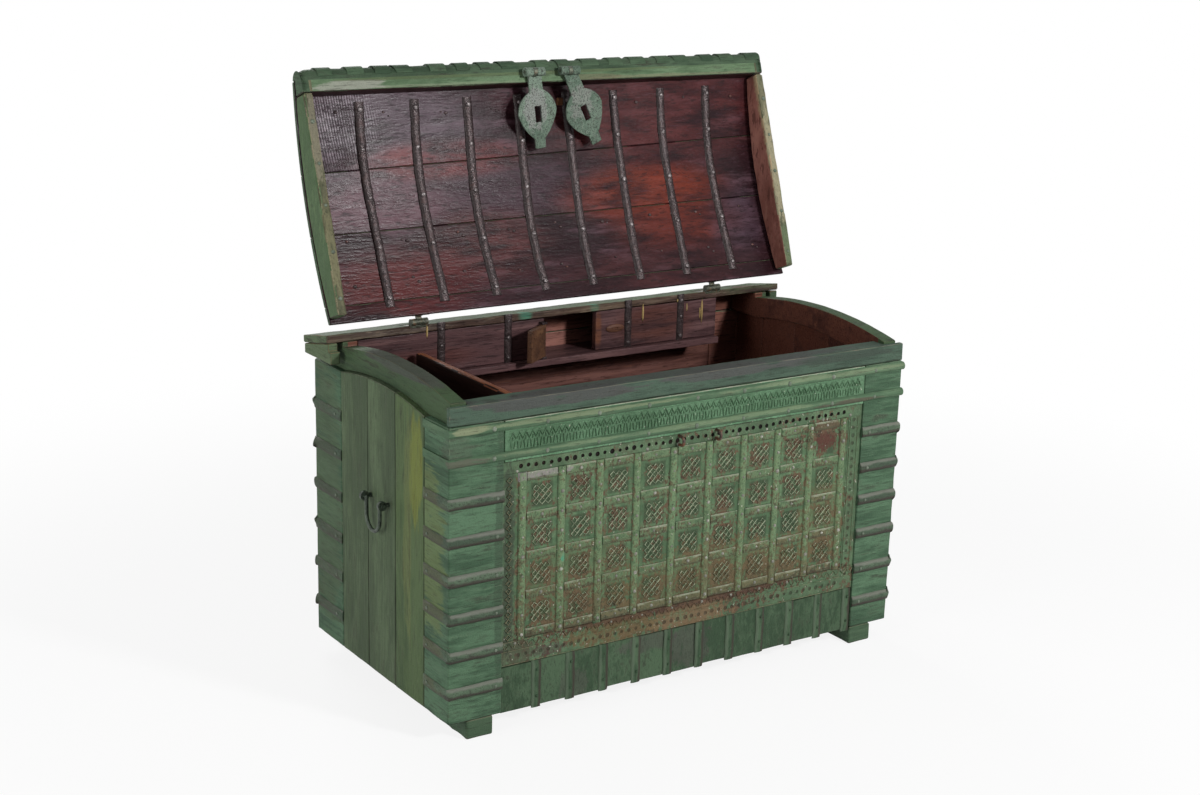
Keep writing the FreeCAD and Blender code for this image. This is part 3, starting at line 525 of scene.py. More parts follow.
def worked_paint(name, dark, light, face, rise, crest_wear_and_highlight, rust=(), tiles=None, rows=None, zone=None,
                 patches=()):
    """Paint on worked relief: pale crests, with wear and a painted highlight, hollows with dirt and painted
    shade, and rust flecks where the paint has gone.

    face is the y of the ground and rise the height of the relief on it; rust is the share eaten and
    places with more; tiles gives the sizes of a panel that is divided into tiles, rows the pitch, the
    first z and the half height of level straps, which get painted shade along their lower edges and a
    painted highlight along their tops, and zone the lowest and highest z of a worked strip and how dark
    its ground is made, for dirt and painted shade.
    """
    material, shader, spot, place = begin(name, shine=0.15)[:4]
    broad = cloud(place, 0.11, 5.0)
    mottle = cloud(place, 0.016, 4.0)
    fleck = cloud(place, 0.0036, 3.0)
    speck = cloud(place, 0.0060, 2.0, (1.0, 1.0, 1.6))
    glint = cloud(place, 0.0050, 1.0, (1.0, 1.0, 1.5))
    clump = cloud(place, 0.045, 3.0)
    apart = spot.node("ShaderNodeSeparateXYZ", inputs={0: spot})
    depth = apart.beside("Y")
    height = apart.beside("Z")
    crest = smooth(face - depth, 0.20 * rise, 0.75 * rise)
    sunk = smooth(depth - face, 0.0002, 0.0010)
    colour = blend(smooth(0.35 * broad + 0.3 * clump + 0.35 * mottle, 0.42, 0.57), dark, light)
    soot = (44, 40, 32)
    hollow = smooth(mottle + 0.4 * fleck, 0.62, 0.84) * 0.6
    beside = sunk
    if tiles:
        across, rise_up, first_x, first_z, rib_half, strap_half, motif_half = tiles
        from_x = from_middle(apart, first_x, across)
        from_z = from_middle(height, first_z, rise_up)
        # Masks of the ground beside the ribs and straps; their darkening below is painted shade, and rust
        # grows more there.
        beside_rib = smooth(from_x, across / 2 - rib_half - 0.006, across / 2 - rib_half)
        beside_strap = smooth(from_z, rise_up / 2 - strap_half - 0.005, rise_up / 2 - strap_half)
        beside = apart.maths("MAXIMUM", beside_rib, beside_strap)
        farther = apart.maths("MAXIMUM", from_x, from_z)
        motif = 1.0 - smooth(farther, motif_half - 0.002, motif_half + 0.004)
        ground = motif * (1.0 - crest)
        hollow = apart.maths("MAXIMUM", hollow, beside * 0.30 + ground * 0.70)
        beside = 0.5 * beside + 0.8 * ground
    if zone:
        above = smooth(height, zone[0] - 0.001, zone[0] + 0.001)
        below = smooth(height, zone[1] - 0.001, zone[1] + 0.001)
        hollow = apart.maths("MAXIMUM", hollow, above * (1.0 - below) * zone[2])
    # Hollows darkened: random dirt, and painted shade beside ribs and straps, in the motif's ground and in a
    # zone.
    colour = blend(hollow * (1.0 - crest) * (0.35 + 0.8 * fleck), colour, soot)
    kept = 1.0
    if rust:
        share, worst = rust
        eaten = 0.20 * broad + 0.38 * mottle + 0.42 * speck + 0.045 * beside + 0.20 * (clump - 0.5)
        eaten = eaten + 0.06 * (1.0 - smooth(height, 0.18, 0.50))
        for centre, reach, extra in worst:
            eaten = eaten + spotted(spot, centre, reach) * extra
        rusted = smooth(eaten, 0.70 - 0.2 * share, 0.75 - 0.2 * share)
        brown = blend(smooth(mottle + fleck, 0.90, 1.12), (56, 41, 34), (98, 75, 59))
        smudge = smooth(0.45 * clump + 0.35 * mottle + 0.20 * speck, 0.47, 0.60)
        colour = blend(smudge * share * 0.45, colour, (82, 74, 58))
        colour = blend(rusted * 0.88, colour, brown)
        kept = 1.0 - 0.65 * rusted
    for centre, reach, tint, amount in patches:
        colour = blend(ragged(spot, centre, reach, (2.0, mottle), (2.0, speck)) * amount, colour, tint)
    # Painted shade along each strap's lower edge and a painted highlight along its top.
    if rows:
        pitch, first_z, half = rows
        from_row = (apart.maths("FRACT", (height - first_z) * (1 / pitch) + 0.5) - 0.5) * pitch
        uneven = 0.008 * (mottle - 0.5)
        lower = 1.0 - smooth(from_row + uneven, 0.0045 - half, 0.0075 - half)
        strap_top_highlight = smooth(from_row + uneven, half - 0.0055, half - 0.0030)
        colour = blend(lower * 0.75, colour, (62, 46, 38))
        colour = blend(strap_top_highlight * smooth(clump, 0.40, 0.62) * 0.65, colour, (160, 164, 144))
    worn = smooth(0.6 * fleck + 0.9 * mottle, 0.52, 0.82)
    # Pale crests: rubbed paint and a painted highlight.
    colour = blend(crest * worn * kept * 0.9, colour, crest_wear_and_highlight)
    # Painted shade in recesses such as dimples and the walls of holes.
    colour = blend(sunk * (0.30 + 0.5 * fleck), colour, soot)
    # Painted shade on lower edges and a bar's shaded side, and a painted highlight on the other side.
    under = mark(spot, "under")
    colour = blend(smooth(under + 0.9 * (mottle - 0.5), 0.15, 0.55) * 0.8, colour, (60, 44, 37))
    colour = blend(smooth(0.9 * (mottle - 0.5) - under, 0.15, 0.55) * 0.75, colour, (172, 172, 154))
    colour = blend(smooth(glint, 0.71, 0.77) * 0.80, colour, (178, 176, 162))
    colour = blend(smooth(1.0 - fleck, 0.59, 0.70) * 0.55, colour, soot)
    coat(shader, colour, 0.42 + 0.3 * mottle, mottle + 0.8 * fleck, 0.8, 0.0025)
    return material


def tree_start(name, sizes):
    """A Geometry Nodes tree with a geometry input and one named input for each size."""
    tree = bpy.data.node_groups.new(name, "GeometryNodeTree")
    tree.interface.new_socket("Geometry", in_out="OUTPUT", socket_type="NodeSocketGeometry")
    tree.interface.new_socket("Geometry", in_out="INPUT", socket_type="NodeSocketGeometry")
    for label in sizes:
        tree.interface.new_socket(label, in_out="INPUT", socket_type="NodeSocketFloat")
    given = tree.nodes.new("NodeGroupInput")
    return tree, {socket.name: Wire(tree, socket) for socket in given.outputs if socket.name}


def tree_end(wire, material):
    """Ends a tree in real geometry with its material."""
    real = wire.node("GeometryNodeRealizeInstances", inputs={"Geometry": wire})
    dressed = wire.node("GeometryNodeSetMaterial", inputs={"Geometry": real, "Material": material})
    last = wire.tree.nodes.new("NodeGroupOutput")
    wire.tree.links.new(dressed.socket, last.inputs["Geometry"])


def run_tree(tree, name, base, sizes):
    """Runs a tree on a base mesh, with its sizes set, and gives the result as a plain object."""
    piece = add_object(name, base)
    modifier = piece.modifiers.new("tree", "NODES")
    modifier.node_group = tree
    for item in tree.interface.items_tree:
        if item.in_out == "INPUT" and item.name in sizes:
            modifier[item.identifier] = sizes[item.name]
    settle(piece)
    return piece


def studs(name, points, material, body, around=8, ridge=False, spread=0.12):
    """Sets a dome or a ridge on each point; a point is its place, outward, along and half sizes."""
    base = bpy.data.meshes.new(name)
    base.from_pydata([point[0] for point in points], [], [])
    for column, label in ((1, "outward"), (2, "along"), (3, "half_sizes")):
        layer = base.attributes.new(label, "FLOAT_VECTOR", "POINT")
        for place, point in zip(layer.data, points):
            place.vector = point[column]
    tree, given = tree_start(name, ["Size", "Spread"])
    start = given["Geometry"]
    if ridge:
        prism = start.node("GeometryNodeMeshCylinder", inputs={"Vertices": 3, "Radius": 1.0, "Depth": 2.0})
        lying = start.node("FunctionNodeEulerToRotation", inputs={"Euler": (0, -math.pi / 2, 0)})
        shape = start.node("GeometryNodeTransform", inputs={"Geometry": prism, "Rotation": lying})
    else:
        sizes = {"Segments": around, "Rings": 4, "Radius": 1.0}
        ball = start.node("GeometryNodeMeshUVSphere", inputs=sizes)
        shape = start.node("GeometryNodeSetShadeSmooth", inputs={"Geometry": ball, "Shade Smooth": True})
    named = {}
    for label in ("outward", "along", "half_sizes"):
        named[label] = start.node("GeometryNodeInputNamedAttribute", {"data_type": "FLOAT_VECTOR"},
                                  {"Name": label}, out="Attribute")
    turn = start.node("FunctionNodeAxesToRotation", {"primary_axis": "Z", "secondary_axis": "X"},
                      {"Primary Axis": named["outward"], "Secondary Axis": named["along"]})
    least = given["Size"] - given["Spread"]
    most = given["Size"] + given["Spread"]
    limits = {2: least, 3: most, "Seed": 7}
    vary = start.node("FunctionNodeRandomValue", {"data_type": "FLOAT"}, limits, out=1)
    scale = start.node("ShaderNodeVectorMath", {"operation": "MULTIPLY"}, {0: named["half_sizes"], 1: vary})
    placed = start.node("GeometryNodeInstanceOnPoints",
                        inputs={"Points": start, "Instance": shape, "Rotation": turn, "Scale": scale})
    tree_end(placed, material)
    piece = run_tree(tree, name, base, {"Size": 1.0, "Spread": spread})
    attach(piece, body)
    return piece


front = Vector((0, -1, 0))
up = Vector((0, 0, 1))
right = Vector((1, 0, 0))


def bar(place, angle, length, width, height):
    """One raised lozenge on the front, turned by an angle from the level."""
    return place, front, Vector((math.cos(angle), 0, math.sin(angle))), (length / 2, width / 2, height)


def nail(place, radius, rise, outward=front, along=right):
    """One domed nail head."""
    return place, outward, along, (radius, radius, rise)


def row(first, pitch, count):
    """Some values that lie a pitch apart."""
    return [first + pitch * step for step in range(count)]


def places(columns, y, levels):
    """The places at one depth where columns and levels cross, column by column."""
    return [Vector((x, y, z)) for x in columns for z in levels]


frieze_low, frieze_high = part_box("frieze_board")
carving_face = frieze_low.y + 0.0012
carving_rise = 0.0042
frieze_paint = worked_paint("frieze_paint", (88, 124, 93), (110, 150, 116), carving_face, carving_rise,
                            (122, 152, 124), zone=(0.645, 0.691, 0.42))
hewn("frieze_board", [frieze_paint, inside_timber], inward)
carving_bottom = 0.648
carving_top = 0.687
carving_middle = (carving_bottom + carving_top) / 2
carving_margin = 0.012
chevron_pitch = 0.0165
chevron_turn = math.radians(60)
chevron_sizes = (0.018, 0.0036, carving_rise)
chevron_z = (carving_middle + carving_top) / 2 + 0.001
flute_sizes = (0.017, 0.0040, carving_rise)
flute_z = (carving_bottom + carving_middle) / 2
drop_sizes = (0.007, 0.005, carving_rise)
drop_z = chevron_z - 0.006
line_sizes = (chevron_pitch * 1.25, 0.0030, 0.0018)
upright = math.radians(90)
chevrons = int((frieze_high.x - frieze_low.x - 2 * carving_margin) / chevron_pitch)
chevron_places = row(frieze_low.x + carving_margin + chevron_pitch / 2, chevron_pitch, chevrons)
carved = []
for x in chevron_places:
    for lean in (-1, 1):
        aside = x + lean * chevron_pitch / 4
        carved.append(bar(Vector((aside, carving_face, chevron_z)), -lean * chevron_turn, *chevron_sizes))
        carved.append(bar(Vector((aside, carving_face, flute_z)), math.radians(90 - 8 * lean), *flute_sizes))
    carved.append(bar(Vector((x, carving_face, drop_z)), upright, *drop_sizes))
for line_z in (carving_bottom - 0.001, carving_middle, carving_top + 0.002):
    for x in chevron_places:
        carved.append(bar(Vector((x, carving_face, line_z)), 0.0, *line_sizes))
studs("frieze_carving", carved, frieze_paint, "chest", ridge=True)


# Bands: two half-round iron bars across the front, above and below the frieze, lapped round the corners.
# Forged, nailed through domed heads and painted; pale paint along their crests is partly yellowed paint and
# partly a painted highlight.


def finish(node, material):
    """Gives a CAD piece whose shape is right its material."""
    slots = frame["nodes"][node].data.materials
    slots.clear()
    slots.append(material)


cream = (168, 166, 132)
band_paint = aged_paint(
    "band_paint", (76, 101, 77), (103, 127, 99), (130, 136, 106), level_grain,
    wear=0.1, grime=0.55, relief=0.6,
    patches=[((-0.58, -0.344, 0.705), (0.06, 0.03, 0.010), cream, 0.40),
             # The pale stripes along the crests are worn paint and a painted highlight.
             ((-0.30, -0.344, 0.706), (0.34, 0.03, 0.006), (136, 144, 112), 0.45),
             ((0.35, -0.344, 0.706), (0.34, 0.03, 0.006), (130, 140, 110), 0.40),
             ((-0.59, -0.344, 0.636), (0.07, 0.03, 0.012), (96, 88, 80), 0.60),
             ((0.0, -0.344, 0.641), (0.62, 0.03, 0.006), (124, 140, 108), 0.45),
             ((0.45, -0.344, 0.634), (0.14, 0.03, 0.008), (84, 72, 64), 0.70)])
finish("front_bands", band_paint)
band_low, band_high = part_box("front_bands")
nail_paint = aged_paint("nail_paint", (92, 104, 88), (142, 150, 134), (172, 168, 150), (1, 1, 1),
                        relief=0.3, shine=0.4)
band_height = 0.019
band_columns = row(-0.520, pitch=0.132, count=9)
band_nail_y = band_low.y + 0.0006
band_nails = []
for level in (band_low.z + band_height / 2, band_high.z - band_height / 2):
    for place in places(band_columns, band_nail_y, [level]):
        band_nails.append(nail(place, radius=0.0055, rise=0.0026))
studs("band_nails", band_nails, nail_paint, "chest")


# Panel: an embossed iron sheet on a board, divided by upright half-round ribs and level straps into tiles.
# Each tile is beaten up from behind with a lattice of petals; painted, and rusted through the paint.
sheet_low, sheet_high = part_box("panel_sheet")
ribs_low, ribs_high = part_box("panel_ribs")
straps_low, straps_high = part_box("panel_straps")
rib_count = 10
rib_width = 0.022
row_count = 5
strap_height = 0.020
tile_across = (ribs_high.x - ribs_low.x - rib_width) / (rib_count - 1)
tile_up = (straps_high.z - straps_low.z - strap_height) / (row_count - 1)
first_rib = ribs_low.x + rib_width / 2
first_row = straps_low.z + strap_height / 2
sheet_face = sheet_low.y
motif_half = 0.0275
lattice_step = 0.0108
petal_rise = 0.0034
turquoise = (60, 150, 122)
rust_places = [((0.40, -0.33, 0.560), (0.10, 0.05, 0.05), 0.07),
               ((0.02, -0.33, 0.22), (0.46, 0.05, 0.07), 0.04)]
olive_stain = (104, 98, 66)
rust_red = (82, 52, 44)
stains = [((0.08, -0.33, 0.26), (0.36, 0.05, 0.11), olive_stain, 0.34),
          ((-0.30, -0.33, 0.31), (0.20, 0.05, 0.13), olive_stain, 0.22),
          ((0.40, -0.33, 0.34), (0.10, 0.05, 0.14), olive_stain, 0.28)]
sheet_paint = worked_paint(
    "sheet_paint", (76, 102, 74), (107, 135, 100), sheet_face, petal_rise, (184, 190, 164),
    rust=(0.80, rust_places),
    tiles=(tile_across, tile_up, first_rib, first_row, rib_width / 2, strap_height / 2, motif_half),
    patches=stains + [((0.402, -0.33, 0.540), (0.040, 0.05, 0.026), rust_red, 0.85)])
rib_paint = worked_paint(
    "rib_paint", (68, 90, 65), (96, 120, 88), sheet_face, 0.006, (108, 130, 96),
    rust=(0.90, rust_places),
    patches=stains + [((-0.334, -0.335, 0.382), (0.012, 0.02, 0.014), turquoise, 0.95),
                      ((-0.44, -0.335, 0.584), (0.03, 0.02, 0.014), (146, 134, 138), 0.95),
                      ((0.455, -0.335, 0.530), (0.030, 0.02, 0.040), rust_red, 0.7)])
finish("panel_sheet", sheet_paint)
# The board behind the sheet is painted near black, as the shade seen through the border's holes.
panel_shade_timber = old_timber("panel_shade_timber", (20, 15, 13), (34, 25, 20), (46, 34, 26), board_grain)
finish("panel_board", panel_shade_timber)
finish("panel_ribs", rib_paint)
# The straps' lower edges get painted shade and their tops a painted highlight, row by row.
strap_paint = worked_paint(
    "strap_paint", (68, 90, 65), (92, 114, 83), sheet_face, 0.004, (106, 127, 94),
    rust=(1.00, rust_places), rows=(tile_up, first_row, strap_height / 2),
    patches=stains + [((-0.38, -0.335, 0.584), (0.085, 0.02, 0.014), (146, 134, 138), 0.95),
                      ((0.40, -0.335, 0.575), (0.07, 0.02, 0.02), rust_red, 0.8)])
hewn("panel_straps", [strap_paint], edge_width=0.0011, uneven=0.0005)

petal_chance = random.Random(13)
petal_turn = 0.14
petal_length = lattice_step * 0.98
weak_petals = 0.25
weak_shares = (0.55, 1.0)
motif_edge = motif_half - 0.003
motif = []
for slope, rise, width in ((-1, 0.75 * petal_rise, 0.0046), (1, petal_rise, 0.0058)):
    angle = slope * math.radians(45)
    along = Vector((math.cos(angle), 0, math.sin(angle)))
    aside = Vector((-along.z, 0, along.x))
    for line in (-2.5, -1.5, -0.5, 0.5, 1.5, 2.5):
        for link in range(-3, 4):
            offset = aside * (line * lattice_step) + along * (link * lattice_step)
            if max(abs(offset.x), abs(offset.z)) < motif_edge:
                motif.append((offset, angle, rise, width))
tile_columns = row(first_rib + tile_across / 2, tile_across, rib_count - 1)
tile_levels = row(first_row + tile_up / 2, tile_up, row_count - 1)
petals = []
# The last tile, at the top right, has lost its petals
for centre in places(tile_columns, sheet_face, tile_levels)[:-1]:
    for offset, angle, rise, width in motif:
        turned = angle + petal_chance.uniform(-petal_turn, petal_turn)
        if petal_chance.random() < weak_petals:
            rise = min(rise, petal_rise * petal_chance.uniform(*weak_shares))
        petals.append(bar(centre + offset, turned, petal_length, width, rise))
studs("panel_petals", petals, sheet_paint, "chest", ridge=True)

# Nail heads painted near white as painted glints, with a high shine.
nail_glint_paint = aged_paint("nail_glint_paint", (104, 104, 92), (186, 184, 172), (206, 202, 190), (1, 1, 1),
                         relief=0.2, shine=0.8)
small_nail = (0.0036, 0.0022)
rib_nail = (0.0040, 0.0024)
rib_columns = row(first_rib, tile_across, rib_count)
rib_levels = row(first_row, tile_up / 2, 2 * row_count - 1)
strap_levels = row(first_row, tile_up, row_count)
panel_nails = [nail(place, *rib_nail) for place in places(rib_columns, ribs_low.y + 0.0004, rib_levels)]
panel_nails += [nail(place, *small_nail) for place in places(tile_columns, straps_low.y, strap_levels)]
studs("panel_nails", panel_nails, nail_glint_paint, "chest", spread=0.3)


# Border: strips of thin iron round the panel, the top one pierced with holes, the bottom and right ones
# dimpled, and all but the top one embossed. Cut and struck with punches and nailed down; the bottom
# strip has lost much of its paint to golden-brown rust.
border_low, border_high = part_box("panel_border")
border_face = border_low.y
gold = (134, 114, 84)
foot_of_border = border_low.z + 0.020
joint_x = 0.132
border_rust = [((-0.02, -0.33, 0.190), (0.34, 0.05, 0.06), 0.10),
               ((0.36, -0.33, 0.59), (0.12, 0.05, 0.03), 0.10),
               ((-0.02, -0.33, 0.205), (0.52, 0.05, 0.014), 0.07),
               ((0.02, -0.33, 0.606), (0.12, 0.05, 0.02), 0.08)]
border_paint = worked_paint(
    "border_paint", (76, 98, 73), (98, 123, 93), border_face, 0.0030, (150, 144, 116),
    rust=(0.52, border_rust),
    patches=[((0.02, -0.33, 0.172), (0.140, 0.05, 0.045), gold, 0.42),
             ((-0.20, -0.33, 0.180), (0.16, 0.05, 0.040), (104, 92, 62), 0.55),
             ((0.0, -0.33, 0.205), (0.40, 0.05, 0.012), (84, 58, 50), 0.55),
             ((-0.37, -0.33, 0.170), (0.06, 0.05, 0.016), (72, 58, 56), 0.55),
             ((-0.46, -0.33, 0.175), (0.07, 0.05, 0.050), (74, 71, 57), 0.70),
             ((-0.475, -0.33, 0.40), (0.018, 0.05, 0.30), (62, 71, 57), 0.85)])
hole_row = (sheet_high.z + border_high.z) / 2
hole_pitch = 0.0196
hole_radius = 0.0060
border_margin = 0.044


def add_box(work, middle, size):
    """Adds a box to a bmesh."""
    bmesh.ops.create_cube(work, size=1.0, matrix=Matrix.LocRotScale(middle, None, size))


def pierced(name, strips, material, punches, sizes):
    """Flat strips with round holes punched into them; a punch is its place and its share of the radius."""
    solid = bmesh.new()
    for low, high in strips:
        add_box(solid, (low + high) / 2, high - low)
    base = mesh_from(solid, name)
    marks = bpy.data.meshes.new(name + "_marks")
    marks.from_pydata([punch[0] for punch in punches], [], [])
    share = marks.attributes.new("share", "FLOAT", "POINT")
    for place, punch in zip(share.data, punches):
        place.value = punch[1]
    marked = bpy.data.objects.new(name + "_marks", marks)
    tree, given = tree_start(name, list(sizes))
    start = given["Geometry"]
    points = start.node("GeometryNodeObjectInfo", inputs={"Object": marked}, out="Geometry")
    punch = start.node("GeometryNodeMeshCylinder",
                       inputs={"Vertices": 10, "Radius": given["Radius"], "Depth": given["Depth"]})
    lying = start.node("FunctionNodeEulerToRotation", inputs={"Euler": (math.pi / 2, 0, 0)})
    shares = start.node("GeometryNodeInputNamedAttribute", {"data_type": "FLOAT"}, {"Name": "share"},
                        out="Attribute")
    scale = start.node("ShaderNodeCombineXYZ", inputs={"X": shares, "Y": shares, "Z": 1.0})
    holes = start.node("GeometryNodeInstanceOnPoints",
                       inputs={"Points": points, "Instance": punch, "Rotation": lying, "Scale": scale})
    holes = start.node("GeometryNodeRealizeInstances", inputs={"Geometry": holes})
    cut = start.node("GeometryNodeMeshBoolean", {"operation": "DIFFERENCE"},
                     {"Mesh 1": start, "Mesh 2": holes})
    tree_end(cut, material)
    piece = run_tree(tree, name, base, sizes)
    bpy.data.objects.remove(marked)
    return piece


punch_chance = random.Random(19)
punch_depth = 0.020
dimple_depth = 0.0010
dimple_y = border_face + dimple_depth - punch_depth / 2
stray = 0.0012
hole_shares = (0.70, 1.08)
dimple_shares = (0.65, 0.95)
punches = []
hole_count = int((border_high.x - border_low.x - 2 * border_margin) / hole_pitch) + 1
for step in range(hole_count):
    x = border_low.x + border_margin + step * hole_pitch
    aside = Vector((punch_chance.uniform(-stray, stray), 0, punch_chance.uniform(-stray, stray)))
    punches.append((Vector((x, border_face, hole_row)) + aside, punch_chance.uniform(*hole_shares)))
    punches.append((Vector((x, dimple_y, foot_of_border)) + aside, punch_chance.uniform(*dimple_shares)))
right_column = (border_high.x + sheet_high.x) / 2 - 0.004
for step in range(1, int((hole_row - foot_of_border) / hole_pitch)):
    place = Vector((right_column, dimple_y, foot_of_border + step * hole_pitch))
    punches.append((place, punch_chance.uniform(*dimple_shares)))
strip_gap = 0.0006
foot_top = sheet_low.z - strip_gap
strips = []
for left, bottom, right_end, top in ((border_low.x, sheet_high.z + strip_gap, border_high.x, border_high.z),
                                     (border_low.x, border_low.z, joint_x, foot_top),
                                     (joint_x + strip_gap, border_low.z, border_high.x, foot_top),
                                     (border_low.x, sheet_low.z, sheet_low.x, sheet_high.z),
                                     (sheet_high.x, sheet_low.z, border_high.x, sheet_high.z)):
    strips.append((Vector((left, border_low.y, bottom)), Vector((right_end, border_high.y, top))))
punch_sizes = {"Radius": hole_radius, "Depth": punch_depth}
border = pierced("pierced_border", strips, border_paint, punches, punch_sizes)
stand_for(border, [border_paint], "panel_border")

chain_pitch = 0.018
chain_aside = 0.0045
chain_sizes = (0.0115, 0.0036, 0.0030)
embossed = []
left_column = (border_low.x + sheet_low.x) / 2
chain_count = int((sheet_high.z - sheet_low.z) / chain_pitch)
chain_levels = row(sheet_low.z + chain_pitch / 2, chain_pitch, chain_count)
for centre in places([left_column], border_face, chain_levels):
    for angle in (math.radians(45), math.radians(135)):
        for lean in (-1, 1):
            aside = Vector((-math.sin(angle), 0, math.cos(angle))) * (chain_aside * lean)
            embossed.append(bar(centre + aside, angle, *chain_sizes))
bead_pitch = 0.020
bead_row = border_low.z + 0.046
line_levels = (border_low.z + 0.002, border_low.z + 0.034, border_low.z + 0.0555)
line_columns = (right_column + 0.012, right_column - 0.011)
tooth_sizes = (0.012, 0.0042, 0.0028)
level_line = (bead_pitch * 1.02, 0.0036, 0.0024)
upright_line = (bead_pitch * 1.02, 0.0032, 0.0018)
bead_count = int((border_high.x - border_low.x) / bead_pitch)
for x in row(border_low.x + bead_pitch / 2, bead_pitch, bead_count):
    for lean in (-1, 1):
        tooth = Vector((x + lean * bead_pitch / 4, border_face, bead_row))
        embossed.append(bar(tooth, math.radians(90 - 35 * lean), *tooth_sizes))
    for place in places([x], border_face, line_levels):
        embossed.append(bar(place, 0.0, *level_line))
side_count = int((sheet_high.z - sheet_low.z) / bead_pitch)
side_levels = row(sheet_low.z + bead_pitch / 2, bead_pitch, side_count)
for place in places(line_columns, border_face, side_levels):
    embossed.append(bar(place, upright, *upright_line))
studs("border_embossing", embossed, border_paint, "chest", ridge=True)
nail_columns = row(border_low.x + 0.035, pitch=0.0845, count=12)
nail_levels = (border_low.z + 0.050, sheet_high.z + 0.0045)
border_nails = [nail(place, *small_nail) for place in places(nail_columns, border_face, nail_levels)]
studs("border_nails", border_nails, nail_glint_paint, "chest", spread=0.3)


# Corner straps: half-round iron straps wrapped round every corner post, six to a post.
# Forged bar, bent round the corner, hammered flatter on the sides and nailed at both ends; the paint
# has worn to grey-brown iron.


def half_round(work, path, outwards, width, height, chance, clean_side, wobble=0.0, fullness=1.0, beaten=()):
    """Sweeps a hand-forged half-round bar along a path, with its outward direction given at each point.

    beaten gives the share of the height that is left at each point where the bar was hammered flat.
    """
    around = 9
    end_shares = (0.55, 0.9)
    widths = (0.90, 1.0)
    heights = (0.86, 1.0)
    rings = []
    under = work.verts.layers.float.get("under") or work.verts.layers.float.new("under")
    for index, place in enumerate(path):
        before = path[max(index - 1, 0)]
        after = path[min(index + 1, len(path) - 1)]
        along = (after - before).normalized()
        outward = outwards[index].normalized()
        across = along.cross(outward).normalized()
        end = min(index, len(path) - 1 - index)
        share = end_shares[end] if end < len(end_shares) else 1.0
        half = width / 2 * chance.uniform(*widths)
        left = beaten[index] if beaten else 1.0
        rise = height * share * chance.uniform(*heights) * left
        aside = across * (wobble * chance.uniform(-1.0, 1.0))
        ring = []
        for step in range(around):
            angle = math.pi * step / (around - 1)
            offset = across * (half * math.cos(angle))
            bulge = math.sin(angle) ** fullness if 0 < step < around - 1 else 0.0
            vert = work.verts.new(place + aside + offset + outward * (rise * bulge))
            # The under mark: the bar's side away from the given lit side is painted as shade, the other as
            # highlight.
            vert[under] = -offset.dot(clean_side) / half * left
            ring.append(vert)
        rings.append(ring)
    for one, two in zip(rings[:-1], rings[1:]):
        for step in range(around - 1):
            work.faces.new((one[step], one[step + 1], two[step + 1], two[step]))
        work.faces.new((one[-1], one[0], two[0], two[-1]))
    work.faces.new(rings[0])
    work.faces.new(list(reversed(rings[-1])))


def from_bmesh(work, name):
    """An object from a bmesh of closed shapes, with its faces turned outwards."""
    bmesh.ops.recalc_face_normals(work, faces=work.faces)
    number_boards(work, random.Random(name))
    mesh = mesh_from(work, name)
    mesh.shade_smooth()
    mesh.set_sharp_from_angle(angle=math.radians(50))
    return add_object(name, mesh)


def between(first, last, share):
    """The value that lies a share of the way from the first to the last."""
    return first + (last - first) * share


corner_iron = aged_paint(
    "corner_iron", (62, 78, 62), (84, 103, 82), (118, 119, 110), (4.0, 4.0, 1.0), wear=0.2, grime=0.80,
    relief=0.9, shine=0.2, pits=0.70,
    patches=[((-0.633, -0.26, 0.35), (0.02, 0.08, 0.40), (82, 84, 60), 0.7),
             ((-0.633, 0.26, 0.35), (0.02, 0.10, 0.45), (62, 70, 52), 0.6)])
corner_count = 6
corner_height = 0.022
corner_roll = 0.0275
corner_rise = 0.0075
turned_share = 0.72
side_share = 0.45
front_first = 0.106
front_pitch = 0.086
rear_first = 0.111
rear_pitch = 0.099
corner_slope = 0.003
face_shares = (0.0, 0.03, 0.08, 0.3, 0.55, 0.8, 0.97)
side_shares = (0.03, 0.2, 0.45, 0.7, 0.92, 0.97, 1.0)
corner_nail = (0.0042, 0.002)
side_nail_share = 0.82
face_nail_share = 0.15
forge_chance = random.Random(5)
corner_work = bmesh.new()
corner_nails = []
for post, first, pitch in (("left_front_post", front_first, front_pitch),
                           ("right_front_post", front_first, front_pitch),
                           ("left_rear_post", rear_first, rear_pitch),
                           ("right_rear_post", rear_first, rear_pitch)):
    post_low, post_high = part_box(post)
    outer_x, inner_x = (post_low.x, post_high.x) if post.startswith("left") else (post_high.x, post_low.x)
    outer_y, inner_y = (post_low.y, post_high.y) if "front" in post else (post_high.y, post_low.y)
    side_out = Vector((math.copysign(1, outer_x), 0, 0))
    face_out = Vector((0, math.copysign(1, outer_y), 0))
    for level in row(first + corner_height / 2, pitch, corner_count):
        drop = Vector((0, 0, forge_chance.uniform(-corner_slope, corner_slope)))
        bends = []
        for share in face_shares:
            place = Vector((between(inner_x, outer_x, share), outer_y, level)) + drop
            bends.append((place, face_out, 1.0))
        bends.append((Vector((outer_x, outer_y, level)), side_out + face_out, turned_share))
        for share in side_shares:
            place = Vector((outer_x, between(outer_y, inner_y, share), level)) - drop
            bends.append((place, side_out, side_share))
        path, outs, beaten = zip(*bends)
        # The straps' lower sides are painted as shade and their tops as highlight.
        half_round(corner_work, path, outs, corner_roll, corner_rise, forge_chance, up, fullness=0.75,
                   beaten=beaten)
        side_end = Vector((outer_x, between(outer_y, inner_y, side_nail_share), level))
        side_end = side_end + side_out * corner_rise * side_share
        corner_nails.append(nail(side_end - drop, *corner_nail, side_out, up))
        face_end = Vector((between(inner_x, outer_x, face_nail_share), outer_y, level))
        face_end = face_end + face_out * corner_rise
        corner_nails.append(nail(face_end + drop, *corner_nail, face_out, up))
stand_for(from_bmesh(corner_work, "corner_rolls"), [corner_iron], "corner_straps")
